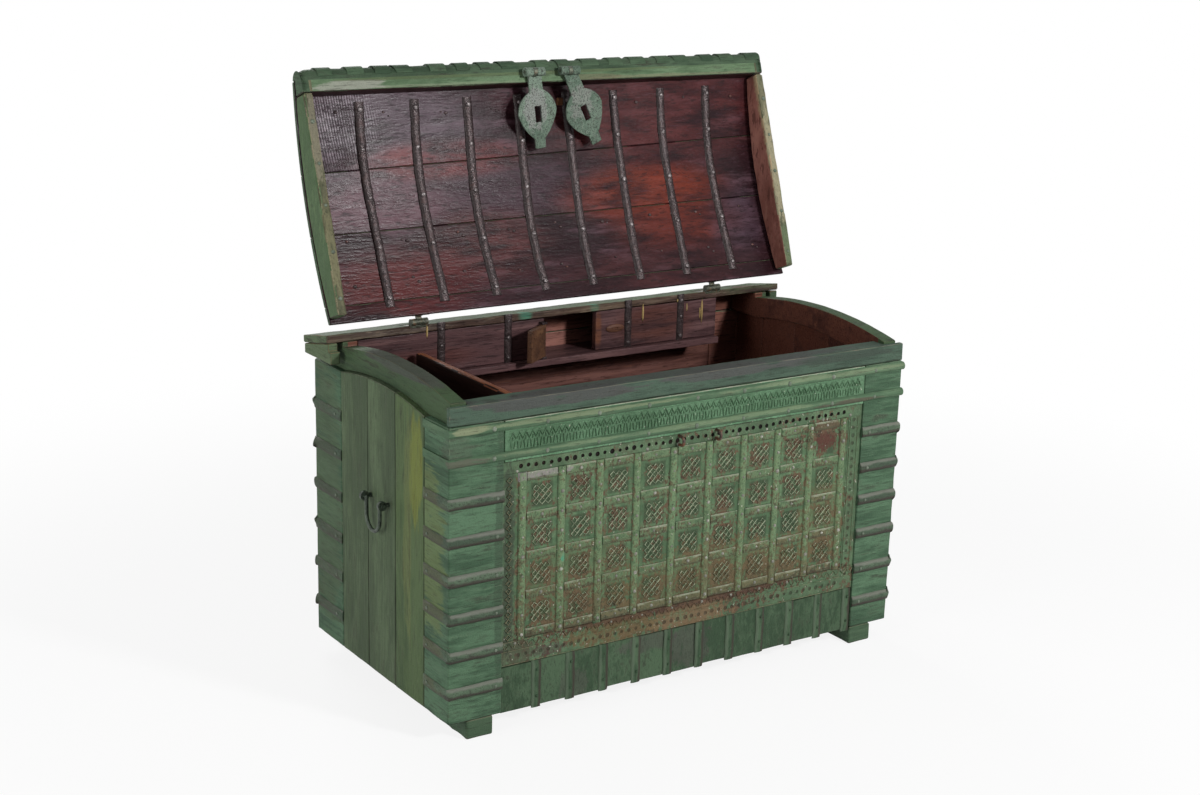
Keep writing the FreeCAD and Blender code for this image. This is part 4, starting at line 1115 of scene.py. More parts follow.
studs("corner_nails", corner_nails, nail_paint, "chest")


# Skirt: upright boards under the panel, with a half-round iron strap over each joint.
# Short offcuts nailed side by side, so their lower ends are uneven and gaps show between them.
skirt_low, skirt_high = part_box("skirt_board")
skirt_straps_low, skirt_straps_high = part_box("skirt_straps")
skirt_strap_count = 11
skirt_strap_width = 0.014
skirt_pitch = (skirt_straps_high.x - skirt_straps_low.x - skirt_strap_width) / (skirt_strap_count - 1)
first_skirt_strap = skirt_straps_low.x + skirt_strap_width / 2
skirt_grey = (76, 70, 69)
skirt_paint = aged_paint(
    "skirt_paint", (54, 73, 54), (76, 97, 74), (92, 104, 84), (1.0, 1.0, 2.5),
    patches=[((0.02, -0.333, 0.10), (0.07, 0.05, 0.07), skirt_grey, 0.5),
             ((-0.10, -0.333, 0.13), (0.10, 0.05, 0.03), skirt_grey, 0.5),
             ((-0.30, -0.333, 0.07), (0.05, 0.05, 0.05), skirt_grey, 0.4)])
joint_aside = 0.006
skirt_columns = row(first_skirt_strap, skirt_pitch, skirt_strap_count)
joints = [skirt_low.x] + [x - joint_aside for x in skirt_columns] + [skirt_high.x]
joint_gap = 0.0005
uneven_ends = 0.007
uneven_faces = 0.003
skirt_chance = random.Random(11)
skirt = bmesh.new()
for left, right_end in zip(joints[:-1], joints[1:]):
    bottom = skirt_low.z + skirt_chance.uniform(0.0, uneven_ends)
    face = skirt_low.y + skirt_chance.uniform(0.0, uneven_faces)
    top = skirt_high.z - skirt_chance.uniform(0.0, uneven_faces)
    low = Vector((left + joint_gap, face, bottom))
    high = Vector((right_end - joint_gap, skirt_high.y, top))
    add_box(skirt, (low + high) / 2, high - low)
skirt_boards = weather(skirt, "skirt_boards", edge_width=0.0016, uneven=0.0016, cell=0.03)
stand_for(skirt_boards, [skirt_paint, inside_timber], "skirt_board", rule=inward)


def upright_path(x, y, low, high):
    """The path of a straight upright strap, with more points near its two ends."""
    shares = (0.0, 0.05, 0.12, 0.3, 0.5, 0.7, 0.88, 0.95, 1.0)
    return [Vector((x, y, between(low, high, share))) for share in shares]


skirt_iron = aged_paint("skirt_iron", (56, 76, 56), (78, 100, 76), (92, 106, 88), (1.0, 1.0, 5.0))
skirt_roll_width = 0.026
skirt_back = skirt_low.y + 0.0015
skirt_rise = skirt_back - skirt_straps_low.y
skirt_nail_levels = (skirt_low.z + 0.028, skirt_high.z - 0.022)
skirt_work = bmesh.new()
for x in skirt_columns:
    path = upright_path(x, skirt_back, skirt_straps_low.z, skirt_straps_high.z)
    # Each strap's right side is painted as shade and its left side as highlight.
    half_round(skirt_work, path, [front] * len(path), skirt_roll_width, skirt_rise, forge_chance, -right,
               wobble=0.0008)
stand_for(from_bmesh(skirt_work, "skirt_rolls"), [skirt_iron], "skirt_straps")
skirt_nails = []
for place in places(skirt_columns, skirt_straps_low.y, skirt_nail_levels):
    skirt_nails.append(nail(place, radius=0.004, rise=0.0020))
studs("skirt_nails", skirt_nails, skirt_iron, "chest")


# Rear deck: a fixed board along the back that carries the hinges, with a cheek under each end.
# Hardwood, split and splintered along its front edge, green on top and brown where it is broken.
deck_paint = aged_paint(
    "deck_paint", (64, 80, 60), (92, 108, 80), (112, 92, 70), level_grain,
    wear=0.22, grime=0.7, relief=1.0,
    patches=[((-0.125, 0.185, 0.80), (0.016, 0.05, 0.02), turquoise, 0.8),
             ((0.075, 0.185, 0.80), (0.010, 0.05, 0.02), turquoise, 0.8),
             ((0.56, 0.20, 0.80), (0.05, 0.06, 0.03), (92, 66, 50), 0.8)])
deck_edge = old_timber(
    "deck_edge", (50, 39, 35), (80, 62, 54), (138, 122, 104), board_grain, relief=1.0,
    scratches_and_sheen=0.5,
    patches=[((-0.50, 0.185, 0.80), (0.16, 0.05, 0.03), (82, 78, 68), 0.5),
             ((-0.125, 0.185, 0.80), (0.022, 0.05, 0.02), turquoise, 0.8),
             ((0.075, 0.185, 0.80), (0.016, 0.05, 0.02), turquoise, 0.7),
             ((0.10, 0.185, 0.80), (0.12, 0.05, 0.02), (104, 88, 70), 0.5),
             ((0.56, 0.185, 0.80), (0.10, 0.05, 0.03), (82, 108, 78), 0.7)])
deck_shift = Vector((3.1, 1.7, 0.4))
broken_y = 0.20
broken_depth = 0.006


def split_edge(place, normal):
    """How much deeper the deck's broken front edge is at a point."""
    if normal.y > -0.5 or place.y > broken_y:
        return 0.0
    return broken_depth * max(0.0, noise.noise(Vector((place.x * 14, 0, place.z * 30)) + deck_shift))


def deck_sides(centre, normal):
    """1 for the deck's broken front edge, and 0 for its painted faces."""
    return int(normal.y < -0.6 and centre.y < broken_y)


hewn("rear_deck", [deck_paint, deck_edge], deck_sides, edge_width=0.004, uneven=0.0028, cell=0.016,
     carve=split_edge)
for node in ("left_rear_cheek", "right_rear_cheek"):
    hewn(node, [deck_paint])
pale_split = old_timber("pale_split", (164, 140, 92), (196, 176, 126), (214, 198, 156), (1.0, 1.0, 12.0))
splinter_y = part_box("rear_deck")[0].y + 0.0004
splinter_rise = 0.0022
splinters = []
for x, top, length, width in ((-0.395, 0.803, 0.033, 0.0050), (0.220, 0.795, 0.052, 0.0060),
                              (0.327, 0.796, 0.012, 0.0080), (0.356, 0.783, 0.026, 0.0040),
                              (0.404, 0.786, 0.064, 0.0060), (0.398, 0.770, 0.040, 0.0040)):
    place = Vector((x, splinter_y, top - length / 2))
    splinters.append((place, front, up, (length / 2, width / 2, splinter_rise)))
studs("deck_splinters", splinters, pale_split, "chest", around=6)


# Rear till: a shallow box under the deck, with a left and a right front panel, a floor and an end.
# Thin hardwood boards, nailed and held by iron straps; oil-stained purple-brown.
till_timber = old_timber(
    "till_timber", (54, 38, 39), (86, 62, 63), (122, 92, 90), board_grain, gloss=0.36,
    patches=[((0.086, 0.185, 0.735), (0.012, 0.03, 0.06), (112, 70, 46), 0.8),
             ((-0.40, 0.185, 0.72), (0.16, 0.03, 0.03), (84, 50, 46), 0.7),
             ((0.25, 0.185, 0.74), (0.14, 0.03, 0.06), (84, 50, 42), 0.8)])
for board in ("till_left_panel", "till_right_panel", "till_floor", "till_end"):
    hewn(board, [till_timber], edge_width=0.002)


def old_iron(name, dark, light, rust, rust_share=0.5, roughness=0.42):
    """Forged iron: dark scale, brown rust in the hollows and rubbed grey metal on the high places."""
    material, shader, spot, place = begin(name, shine=0.35)[:4]
    mottle = cloud(place, 0.014, 4.0)
    fleck = cloud(place, 0.004, 3.0)
    iron = blend(smooth(0.5 * mottle + 0.5 * fleck, 0.38, 0.62), dark, light)
    # Painted shade on the side of a bar away from the light.
    iron = blend(smooth(mark(spot, "under"), 0.0, 0.9) * 0.75, iron, (34, 27, 26))
    rusted = smooth(0.6 * mottle + 0.4 * fleck, 0.62 - 0.2 * rust_share, 0.74 - 0.2 * rust_share)
    colour = blend(rusted * 0.8, iron, rust)
    shader.inputs["Metallic"].default_value = 0.35
    coat(shader, colour, roughness + 0.25 * rusted, mottle + 0.8 * fleck, 0.8, 0.0022)
    return material


till_iron = old_iron("till_iron", (44, 34, 34), (68, 56, 57), (60, 41, 37), 0.4, 0.36)
till_nail_iron = old_iron("till_nail_iron", (66, 58, 58), (112, 104, 104), (74, 56, 50), 0.2, 0.3)
till_straps_low, till_straps_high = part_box("till_straps")
till_strap_width = 0.022
till_strap_rise = 0.0036
till_chance = random.Random(29)
till_columns = (-0.357, -0.174, 0.175, 0.336)
till_work = bmesh.new()
for x in till_columns:
    path = upright_path(x, till_straps_high.y, till_straps_low.z, till_straps_high.z)
    # Each strap's left side is painted as shade.
    half_round(till_work, path, [front] * len(path), till_strap_width, till_strap_rise, till_chance, right,
               wobble=0.0006)
till_levels = [between(till_straps_low.z, till_straps_high.z, share) for share in (0.10, 0.52, 0.86)]
till_nails = []
for place in places(till_columns, till_straps_high.y - till_strap_rise, till_levels):
    till_nails.append(nail(place, radius=0.0045, rise=0.0016))
stand_for(from_bmesh(till_work, "till_rolls"), [till_iron], "till_straps")
studs("till_nails", till_nails, till_nail_iron, "chest", spread=0.2)
finish("till_door_eyes", till_iron)


def trim(piece, material, body):
    """Dresses a small piece that stands for no CAD node."""
    piece.data.materials.append(material)
    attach(piece, body)


plate_timber = old_timber("plate_timber", (66, 44, 36), (98, 66, 52), (124, 90, 70), board_grain)
plate_sides = 28
plate_half_width = 0.027
plate_half_height = 0.010
plate_rise = 0.0030
plate_profile = ((1.0, 0.0), (1.0, 0.5), (0.86, 1.0), (0.26, 1.0), (0.22, 0.25))
plate_middle = Vector((0.136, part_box("till_right_panel")[0].y, 0.739))
plate = bmesh.new()
plate_rings = []
for share, rise in plate_profile:
    ring = []
    for step in range(plate_sides):
        angle = 2 * math.pi * step / plate_sides
        x = math.cos(angle) * plate_half_width * share
        z = math.sin(angle) * plate_half_height * share
        ring.append(plate.verts.new(plate_middle + Vector((x, -plate_rise * rise, z))))
    plate_rings.append(ring)
for inner, outer in zip(plate_rings[:-1], plate_rings[1:]):
    for step in range(plate_sides):
        after = (step + 1) % plate_sides
        plate.faces.new((inner[step], inner[after], outer[after], outer[step]))
plate.faces.new(plate_rings[0])
plate.faces.new(plate_rings[-1])
trim(from_bmesh(plate, "keyhole_plate"), plate_timber, "chest")


# Till door: a small board that closes the left half of the till, turning on two iron eyes.
# The same timber as the till, worn paler by hands.
door_timber = old_timber("door_timber", (60, 42, 34), (90, 63, 47), (120, 88, 62), board_grain)
hewn("till_door", [door_timber], edge_width=0.002, cell=0.02)


# Side till: a partition board and a floor across the left end, which made a place for small things.
# Softwood boards let into the front and the back; the top edge is worn orange-brown, and the faces inside the
# side till are painted black as shade.
side_grain = (1.0, 16.0, 1.0)
partition_timber = old_timber("partition_timber", (92, 56, 40), (136, 84, 58), (166, 112, 78), side_grain)
# The inside of the side till, its floor and the partition's face towards it, is painted near black as shade.
shade_black_timber = old_timber("shade_black_timber", (24, 16, 14), (38, 25, 21), (52, 36, 29), side_grain)


def till_inside(centre, normal):
    """1 for the partition's face towards the side till, which is painted black as shade, and 0 for the
    others.
    """
    return int(normal.x < -0.6)


hewn("side_till_partition", [partition_timber, shade_black_timber], till_inside, edge_width=0.005)
hewn("side_till_floor", [shade_black_timber])


# Hinges: two iron butt hinges between deck and lid, each a deck leaf, a lid leaf and a pin.
# Forged leaves let into the wood; the knuckles are green outside and rusty in the middle.
hinge_iron = old_iron("hinge_iron", (56, 56, 48), (90, 96, 80), (118, 72, 48))
for node in ("hinge_deck_leaves", "hinge_lid_leaves", "hinge_pins"):
    finish(node, hinge_iron)


# Lock staples: two iron staples through the top of the panel, which the hasps drop over.
# Bent from bar and clenched inside; brown with rust.
staple_iron = old_iron("staple_iron", (54, 42, 38), (106, 88, 76), (112, 70, 48), 0.7)
finish("lock_staples", staple_iron)


# Handles: a drop handle on each side, bent from round bar and hung in two eyes.
# Black iron with a trace of green paint, polished by use.
handle_iron = old_iron("handle_iron", (36, 44, 37), (78, 90, 76), (58, 56, 44), 0.3, 0.36)
for node in ("left_handle", "right_handle", "handle_eyes"):
    finish(node, handle_iron)


# Lid boards: four long curved boards side by side, on edge between the cheeks.
# Split hardwood, sawn rippled and varnished dark red-brown inside, painted green outside; the varnish's sheen
# and the ripples' glints and shade are painted into the inside's colour.
ripple_period = 0.0066
ripple_slant = 0.12
painted_sheen_grey = (92, 78, 87)
deep_red = (88, 41, 40)
# The first patch is a painted sheen on the varnish over the upper left; the pale streaks also stand for
# sheen, and the saw lines are painted glints and shade.
lid_timber = old_timber(
    "lid_timber", (38, 21, 25), (63, 36, 42), (102, 78, 88), (7.0, 1.0, 1.5), gloss=0.26,
    shine=0.11, relief=0.42, scratches_and_sheen=0.18, seams=0.85,
    saw=((-0.55, 0.33, 1.250), (0.115, 0.12, 0.105), ripple_period, ripple_slant),
    patches=[((-0.45, 0.33, 1.24), (0.32, 0.14, 0.14), painted_sheen_grey, 0.80),
             ((-0.47, 0.27, 1.08), (0.22, 0.14, 0.08), (104, 70, 80), 0.70),
             ((-0.10, 0.27, 1.10), (0.26, 0.14, 0.08), (60, 40, 50), 0.80),
             ((-0.30, 0.30, 1.17), (0.26, 0.14, 0.05), (112, 50, 50), 0.85),
             ((-0.20, 0.22, 0.97), (0.20, 0.14, 0.09), (92, 46, 44), 0.70),
             ((0.35, 0.30, 1.24), (0.42, 0.16, 0.14), deep_red, 0.80),
             ((0.28, 0.25, 1.06), (0.28, 0.14, 0.08), (122, 50, 32), 0.85),
             ((0.36, 0.23, 0.98), (0.24, 0.14, 0.07), (102, 43, 32), 0.80),
             ((0.54, 0.20, 0.98), (0.10, 0.14, 0.12), (76, 62, 74), 0.60),
             ((0.30, 0.20, 0.88), (0.36, 0.14, 0.06), (70, 36, 36), 0.70),
             ((-0.45, 0.19, 0.90), (0.22, 0.14, 0.10), (92, 38, 37), 0.85)])
lid_brown = old_timber("lid_brown", (52, 38, 34), (76, 54, 46), (100, 76, 62), board_grain)
lid_paint = aged_paint("lid_paint", (60, 78, 59), (84, 105, 81), (118, 122, 96), level_grain)
board_thin = Vector((0, -0.94, 0.34))
ripple_left = -0.628
ripple_right = -0.470
ripple_bottom = 1.15
ripple_middle = 1.25
ripple_depth = 0.00100
ripple_places = [ripple_left + step * ripple_period / 4
                 for step in range(1, int((ripple_right - ripple_left) / ripple_period * 4))]


def saw_ripples(place, normal):
    """The depth of the saw's marks across the left end of the top board."""
    if normal.y > -0.5 or place.x > ripple_right:
        return 0.0
    fade_aside = min(1.0, (ripple_right - place.x) / 0.06)
    fade_down = max(0.0, min(1.0, (place.z - ripple_bottom) / 0.03))
    patchy = 0.55 + 0.9 * noise.noise(Vector((place.x * 20, 3.0, place.z * 24)))
    along = place.x + ripple_slant * (place.z - ripple_middle)
    wave = 1 + math.sin(2 * math.pi * along / ripple_period)
    return ripple_depth * max(0.0, fade_aside * fade_down * patchy) * wave


def lid_sides(centre, normal):
    """0 for a board's varnished inside, 1 for its lower edge and 2 for its painted outside."""
    if normal.y < -0.45:
        return 0
    if normal.z < -0.6:
        return 1
    return 2


plain = {"cell": 0.03}
rippled = {"cell": 0.02, "fine_cuts": ripple_places, "carve": saw_ripples}
lid_boards = ["lid_board_" + str(number) for number in range(1, 5)]
for board in lid_boards:
    hewn(board, [lid_timber, lid_brown, lid_paint], lid_sides, edge_width=0.0024, uneven=0.0016,
         thin=board_thin, **(rippled if board == lid_boards[-1] else plain))


def surface(*nodes):
    """What rays can find the faces of some CAD pieces with."""
    corners = []
    faces = []
    for node in nodes:
        mesh = frame["nodes"][node].data
        first = len(corners)
        corners.extend(vert.co for vert in mesh.vertices)
        faces.extend([first + index for index in face.vertices] for face in mesh.polygons)
    return BVHTree.FromPolygons(corners, faces)


def set_on(tree, starts, direction, half_sizes):
    """Points for studs where rays from the starts meet a surface."""
    points = []
    for start in starts:
        place, normal, _, _ = tree.ray_cast(start, direction)
        if place is not None:
            along = up if abs(normal.x) > 0.7 else right
            points.append((place, normal, along, half_sizes))
    return points


lid_inside = surface(*lid_boards)
behind = Vector((0, 1, 0))
first_strap = -0.494
strap_pitch = 0.1411
strap_count = 8
ray_y = 1.0
clench_chance = random.Random(23)
clench_aside = 0.012
clench_drop = 0.006
doubled = 0.5
second_aside = 0.013
second_drop = 0.008
clench_sizes = (0.0042, 0.0032, 0.0022)
clench_starts = []
for level in (1.284, 1.003, 0.912):
    for step in range(-1, strap_count):
        x = first_strap + (step + 0.5) * strap_pitch + clench_chance.uniform(-clench_aside, clench_aside)
        z = level + clench_chance.uniform(-clench_drop, clench_drop)
        clench_starts.append(Vector((x, -ray_y, z)))
        if clench_chance.random() < doubled:
            clench_starts.append(Vector((x + second_aside, -ray_y, level - second_drop)))
clench_iron = old_iron("clench_iron", (44, 34, 34), (96, 82, 82), (110, 62, 50))
clenches = set_on(lid_inside, clench_starts, behind, clench_sizes)
studs("clenched_nails", clenches, clench_iron, "lid", spread=0.35)
stop_timber = old_timber("stop_timber", (92, 58, 40), (124, 82, 56), (146, 104, 74), (1.0, 1.0, 8.0))
stop_sizes = (0.020, 0.014, 0.020)
stop_x = 0.050
stop_z = 1.290
stop_middle = lid_inside.ray_cast(Vector((stop_x, -ray_y, stop_z)), behind)[0]
stop = bmesh.new()
add_box(stop, stop_middle, stop_sizes)
stop_block = weather(stop, "stop_block", edge_width=0.003, uneven=0.0012, cell=0.006)
trim(stop_block, stop_timber, "lid")


# Lid frame: the front rail with its round nose and flat rim, and a cheek at each end.
# Hardwood, pegged to the boards; the rims are rubbed down to yellow wood along their edges.
rim_out = Vector((0, -0.934, 0.357))
rim_paint = aged_paint(
    "rim_paint", (76, 98, 71), (106, 130, 99), (132, 136, 112), level_grain,
    wear=0.15, grime=0.4, relief=0.8,
    patches=[((-0.30, 0.30, 1.346), (0.30, 0.05, 0.006), (126, 138, 112), 0.6),
             ((-0.54, 0.30, 1.352), (0.12, 0.05, 0.016), (152, 154, 142), 0.85),
             ((0.35, 0.30, 1.346), (0.34, 0.05, 0.007), (124, 126, 100), 0.6),
             ((0.12, 0.30, 1.350), (0.10, 0.05, 0.010), (112, 104, 82), 0.5),
             ((-0.10, 0.30, 1.366), (0.60, 0.05, 0.006), (82, 92, 62), 0.6)])
nose_paint = aged_paint("nose_paint", (54, 72, 54), (78, 98, 76), (100, 104, 86), level_grain, grime=0.7,
                        relief=0.9)
# The rail's under side is painted dark brown as painted shade.
rail_underside_shade = old_timber("rail_underside_shade", (40, 26, 26), (58, 38, 36), (76, 52, 48), board_grain)
rim_level = max(vert.co.dot(rim_out) for vert in frame["nodes"]["lid_right_cheek"].data.vertices)
# The cheeks' bare insides are painted paler than the wood, as painted light where the lid shades them.
cheek_timber_painted_light = old_timber(
    "cheek_timber_painted_light", (130, 84, 74), (170, 116, 104), (190, 142, 124), (1.0, 3.0, 9.0),
    rim=(rim_out, rim_level, 0.018, (176, 160, 124)))
cheek_paint = aged_paint("cheek_paint", (80, 101, 71), (108, 131, 95), (140, 140, 106),
                         (1.0, 1.0, 4.0), relief=0.8)
cheek_rim = aged_paint(
    "cheek_rim", (82, 84, 64), (118, 116, 92), (150, 140, 114), upright_grain,
    wear=0.2, grime=0.7, relief=0.9,
    patches=[((-0.64, 0.27, 1.24), (0.03, 0.09, 0.12), (138, 132, 114), 0.65),
             ((-0.64, 0.18, 1.00), (0.03, 0.10, 0.14), (128, 124, 94), 0.55),
             ((0.64, 0.22, 1.10), (0.03, 0.14, 0.20), (168, 160, 132), 0.7),
             ((0.64, 0.15, 0.91), (0.03, 0.06, 0.08), (104, 120, 90), 0.7)])
nose_line = 1.369
rim_bottom = 1.345
rail_end = 0.653
end_round = 0.026
end_drop = 0.011
board_end = 0.628
end_cuts = sorted(side * (board_end + 0.006 * step) for side in (-1, 1) for step in range(4))


def round_ends(place, normal):
    """How far the rail's nose falls away towards its two ends."""
    share = max(0.0, (abs(place.x) - rail_end + end_round) / end_round)
    return end_drop * share ** 2 if normal.z > 0.3 or normal.y > 0.5 else 0.0


def rail_sides(centre, normal):
    """0 for the rail's flat rim, 3 for the rim's ends, 2 for its under side and 1 for its nose."""
    if normal.dot(rim_out) > 0.96 and centre.z < nose_line:
        return 0 if abs(centre.x) < board_end else 3
    if normal.z < -0.5 and centre.z < rim_bottom:
        return 2
    return 1


def cheek_sides(centre, normal):
    """0 for a cheek's rim, 2 for its bare inside and 1 for its painted outside."""
    if normal.dot(rim_out) > 0.6:
        return 0
    if abs(normal.x) > 0.5 and normal.x * centre.x < 0:
        return 2
    return 1


hewn("lid_front_rail", [rim_paint, nose_paint, rail_underside_shade, cheek_rim], rail_sides, edge_width=0.004,
     uneven=0.0016, fine_cuts=end_cuts, level_cuts=(nose_line,), carve=round_ends)
for node in ("lid_left_cheek", "lid_right_cheek"):
    hewn(node, [cheek_rim, cheek_paint, cheek_timber_painted_light], cheek_sides, edge_width=0.005)
cheek_nail_sizes = (0.005, 0.005, 0.0022)
cheek_starts = places((-0.640, 0.640), -ray_y, (0.90, 1.00, 1.10, 1.19, 1.28))
cheek_faces = surface("lid_left_cheek", "lid_right_cheek")
cheek_nails = set_on(cheek_faces, cheek_starts, behind, cheek_nail_sizes)
studs("cheek_nails", cheek_nails, nail_paint, "lid")


# Lid straps: eight half-round iron straps inside, and eighteen narrow ones over the outside and the nose.
# Forged bars, nailed through the boards; bare and grey-brown inside, painted outside, with the outer
# ones beaten wider where they turn over the nose.
strap_iron = old_iron("strap_iron", (36, 26, 27), (68, 54, 55), (56, 38, 35), 0.45, 0.27)
# The nails on the inner straps are painted pale as painted glints.
roll_nail_glint_iron = old_iron("roll_nail_glint_iron", (76, 68, 68), (156, 148, 148), (84, 66, 60), 0.2, 0.28)
inner_low, inner_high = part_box("lid_inner_straps")
arc_centre_y = -0.9094
arc_centre_z = 1.4814
arc_radius = 1.254
strap_width = 0.026
strap_rise = 0.0085
strap_steps = 26
strap_lean = 0.004
strap_bow = 0.003
strap_sink = 0.0010
nail_rise = strap_rise - 0.0008
strap_chance = random.Random(41)
strap_work = bmesh.new()
strap_nails = []
for number, middle in enumerate(row(first_strap, strap_pitch, strap_count)):
    lean = strap_chance.uniform(-strap_lean, strap_lean)
    path = []
    outs = []
    for step in range(strap_steps):
        share = step / (strap_steps - 1)
        z = between(inner_low.z, inner_high.z, share)
        y = arc_centre_y + math.sqrt(arc_radius ** 2 - (z - arc_centre_z) ** 2)
        outward = Vector((0, arc_centre_y - y, arc_centre_z - z)).normalized()
        bow = strap_bow * math.sin(math.pi * share * 2 + number)
        path.append(Vector((middle + lean * (share - 0.5) + bow, y, z)) - outward * strap_sink)
        outs.append(outward)
    # Each strap's left side is painted as shade.
    half_round(strap_work, path, outs, strap_width, strap_rise, strap_chance, right, wobble=0.0006)
    for step in (1, 7, 13, 19, 24):
        place = path[step] + outs[step] * nail_rise
        strap_nails.append(nail(place, radius=0.0058, rise=0.0026, outward=outs[step]))
stand_for(from_bmesh(strap_work, "lid_rolls"), [strap_iron], "lid_inner_straps")
studs("lid_roll_nails", strap_nails, roll_nail_glint_iron, "lid", spread=0.2)

outer_iron = aged_paint("outer_iron", (56, 76, 57), (82, 104, 80), (46, 46, 38), level_grain, wear=0.30,
                        grime=0.7, relief=0.9)
outer_work = bmesh.new()
outer_work.from_mesh(frame["nodes"]["lid_outer_straps"].data)
bmesh.ops.remove_doubles(outer_work, verts=outer_work.verts, dist=1e-5)
outer_count = 18
outer_low, outer_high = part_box("lid_outer_straps")
outer_width = 0.016
outer_pitch = (outer_high.x - outer_low.x - outer_width) / (outer_count - 1)
first_outer = outer_low.x + outer_width / 2
nose_start = 1.305
nose_end = 1.345
nose_widths = (2.2, 3.1)
nose_lean = 0.35
outer_chance = random.Random(3)
widths = [outer_chance.uniform(*nose_widths) for _ in range(outer_count)]
leans = [outer_chance.uniform(-nose_lean, nose_lean) for _ in range(outer_count)]
for vert in outer_work.verts:
    number = round((vert.co.x - first_outer) / outer_pitch)
    middle = first_outer + number * outer_pitch
    share = max(0.0, min(1.0, (vert.co.z - nose_start) / (nose_end - nose_start)))
    wide = 1.0 + (widths[number] - 1.0) * share
    x = middle + (vert.co.x - middle) * wide + leans[number] * share * (vert.co.z - nose_end)
    vert.co.x = max(cad_low.x, min(cad_high.x, x))
outer_straps = weather(outer_work, "outer_straps", edge_width=0.0012, uneven=0.0010, cell=0.03)
stand_for(outer_straps, [outer_iron], "lid_outer_straps")
outer_starts = places(row(first_outer, outer_pitch, outer_count), ray_y, (0.90, 1.03, 1.16, 1.29))
outer_nail_sizes = (0.0045, 0.0045, 0.0022)
outer_nails = set_on(surface("lid_outer_straps"), outer_starts, front, outer_nail_sizes)
studs("outer_strap_nails", outer_nails, nail_paint, "lid")


# Hasps: two leaf-shaped iron hasps on eyes under the lid's rim, each with a slot for its staple.
# Forged with a ridge down the middle, painted pale green and pitted where the paint is gone.
hasp_paint = aged_paint(
    "hasp_paint", (86, 106, 90), (122, 140, 124), (152, 154, 144), (1, 1, 1), wear=0.2, grime=0.75,
    relief=1.0, shine=0.25, pits=0.85,
    patches=[((-0.045, 0.28, 1.28), (0.040, 0.10, 0.060), (146, 148, 144), 0.75),
             ((0.085, 0.28, 1.29), (0.040, 0.10, 0.055), (140, 142, 136), 0.65)])
hasp_pivot_z = 1.3694
hasp_half = 0.040
hasp_ridge = 0.0040
ridge_start = 0.03
ridge_fade = 0.02


def hasp_faces(middle, lean):
    """The rule that raises a ridge down a hasp that hangs from a place and leans."""

    def raised(place, normal):
        """How far below its flat face the hasp is at a point, which is less than nothing on the ridge."""
        if normal.y > -0.5:
            return 0.0
        aside = (place.x - middle) * math.cos(lean) + (place.z - hasp_pivot_z) * math.sin(lean)
        drop = (place.x - middle) * math.sin(lean) - (place.z - hasp_pivot_z) * math.cos(lean)
        if drop < ridge_start:
            return 0.0
        share = max(0.0, 1.0 - abs(aside) / hasp_half)
        return -hasp_ridge * share * min(1.0, (drop - ridge_start) / ridge_fade)

    return raised


for node, middle, lean in (("left_hasp", -0.050, 6.5), ("right_hasp", 0.050, 25.0)):
    hewn(node, [hasp_paint], edge_width=0.0012, uneven=0.0010, cell=0.007,
         carve=hasp_faces(middle, math.radians(lean)))
for node in ("hasp_eyes", "hasp_pins"):
    finish(node, old_iron(node + "_iron", (60, 62, 52), (108, 118, 102), (96, 72, 54)))


# Studio: a white floor, a key light and a small light for sheen before the chest, soft lights to its left
# and behind it, and the camera, which stands where the photograph was taken from.
# None of it belongs to the chest.


def shown(wire):
    """1 for the rays that show a thing, straight, in gloss or through glass, and 0 for the others."""
    seen = wire.node("ShaderNodeLightPath", out="Is Camera Ray")
    return seen + seen.beside("Is Glossy Ray") + seen.beside("Is Transmission Ray")


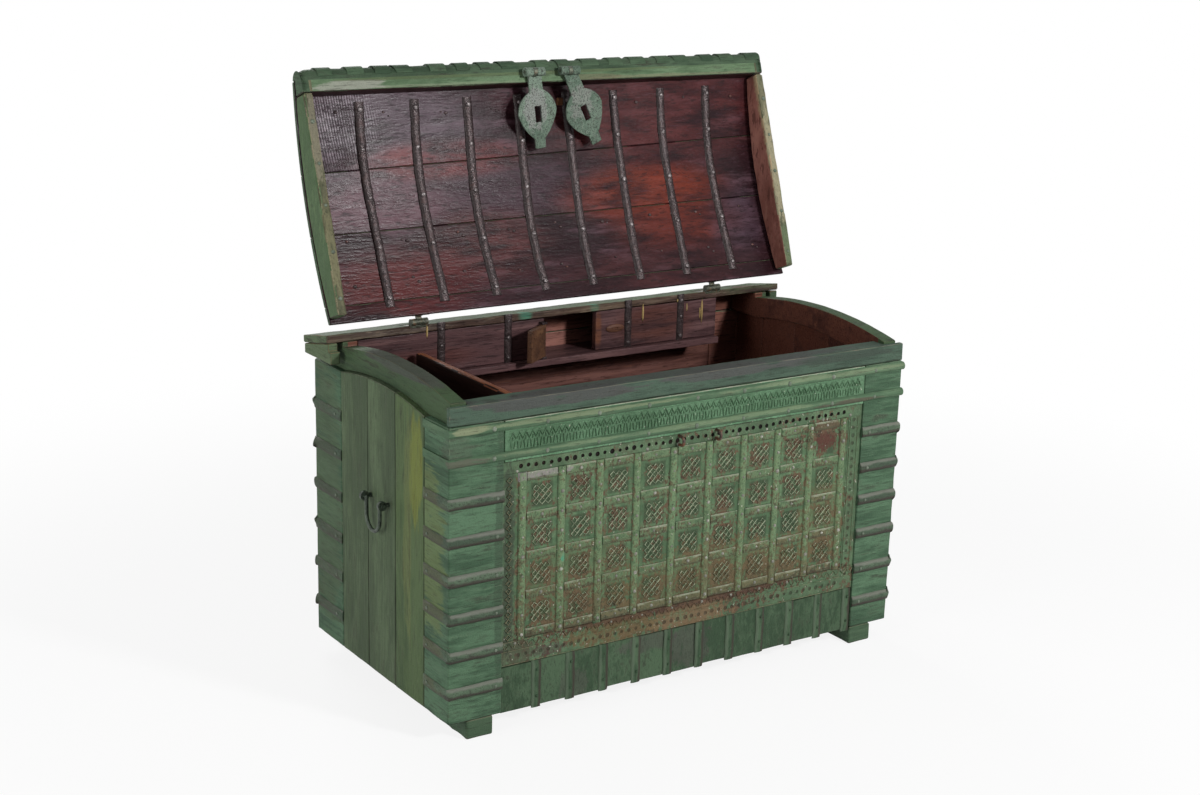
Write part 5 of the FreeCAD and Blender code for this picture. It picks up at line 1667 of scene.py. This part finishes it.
floor_half = 20.0
floor_white = 0.86
floor_near = 2.6
floor_mesh = bpy.data.meshes.new("floor")
floor_corners = [(-floor_half, -floor_half, 0), (floor_half, -floor_half, 0),
                 (floor_half, floor_half, 0), (-floor_half, floor_half, 0)]
floor_mesh.from_pydata(floor_corners, [], [(0, 1, 2, 3)])
floor_material, floor_shader, floor_spot = begin("floor_white")[:3]
floor_shader.inputs["Base Color"].default_value = (floor_white, floor_white, floor_white, 1.0)
floor_shader.inputs["Roughness"].default_value = 0.8
far = 1.0 - spotted(floor_spot, (0, 0, 0), (floor_near, floor_near, floor_near))
white = floor_spot.node("ShaderNodeEmission", inputs={"Color": (1, 1, 1, 1), "Strength": 1.0})
lit = Wire(floor_material.node_tree, floor_shader.outputs[0])
share = shown(floor_spot) * (floor_white + (1.0 - floor_white) * far)
mixed = floor_spot.node("ShaderNodeMixShader", inputs={0: share, 1: lit, 2: white})
floor_spot.into(floor_material.node_tree.nodes["Material Output"].inputs["Surface"], mixed)
floor_mesh.materials.append(floor_material)
add_object("floor", floor_mesh)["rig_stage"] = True

world = bpy.data.worlds.new("studio")
bpy.context.scene.world = world
world.use_nodes = True
sky = world.node_tree.nodes["Background"]
sky.inputs["Color"].default_value = (1.0, 1.0, 1.0, 1.0)
ambient = 0.14
air = shown(Wire(world.node_tree))
air.into(sky.inputs["Strength"], ambient + (1.0 - ambient) * air)


def lamp(name, place, target, size, power):
    """A soft square lamp that faces a target."""
    light = bpy.data.lights.new(name, "AREA")
    light.size = size
    light.energy = power
    holder = add_object(name, light)
    holder.location = place
    holder.rotation_euler = (Vector(target) - Vector(place)).to_track_quat("-Z", "Y").to_euler()


lamp("key", (1.35, -4.12, 2.85), (0, 0, 0.7), size=0.5, power=170)
lamp("sheen", (2.3, -4.0, 2.2), (0, 0, 0.9), size=0.45, power=18)
lamp("fill", (-4.3, -0.6, 1.7), (0, 0, 0.7), size=2.2, power=72)
lamp("back", (0.4, 4.6, 3.0), (0, 0, 0.7), size=2.0, power=110)

camera_data = bpy.data.cameras.new("camera")
camera = add_object("camera", camera_data)
focal_pixels = 1915.118
image_width = 1200
camera_data.sensor_width = 36.0
camera_data.lens = focal_pixels / image_width * camera_data.sensor_width
azimuth = 0.588662
pitch = 0.265442
roll = 0.025673
stand = Vector((-2.47925, -3.67300, 1.82525))
turn = Matrix.Rotation(roll, 3, "Z") @ Matrix.Rotation(pitch, 3, "X")
turn = turn @ Matrix(((1, 0, 0), (0, 0, -1), (0, 1, 0))) @ Matrix.Rotation(azimuth, 3, "Z")
pointing = Matrix((turn[0], -turn[1], -turn[2])).transposed()
camera.matrix_world = Matrix.LocRotScale(stand, pointing, None)
bpy.context.scene.camera = camera
bpy.context.scene.view_settings.view_transform = "Standard"

low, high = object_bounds()
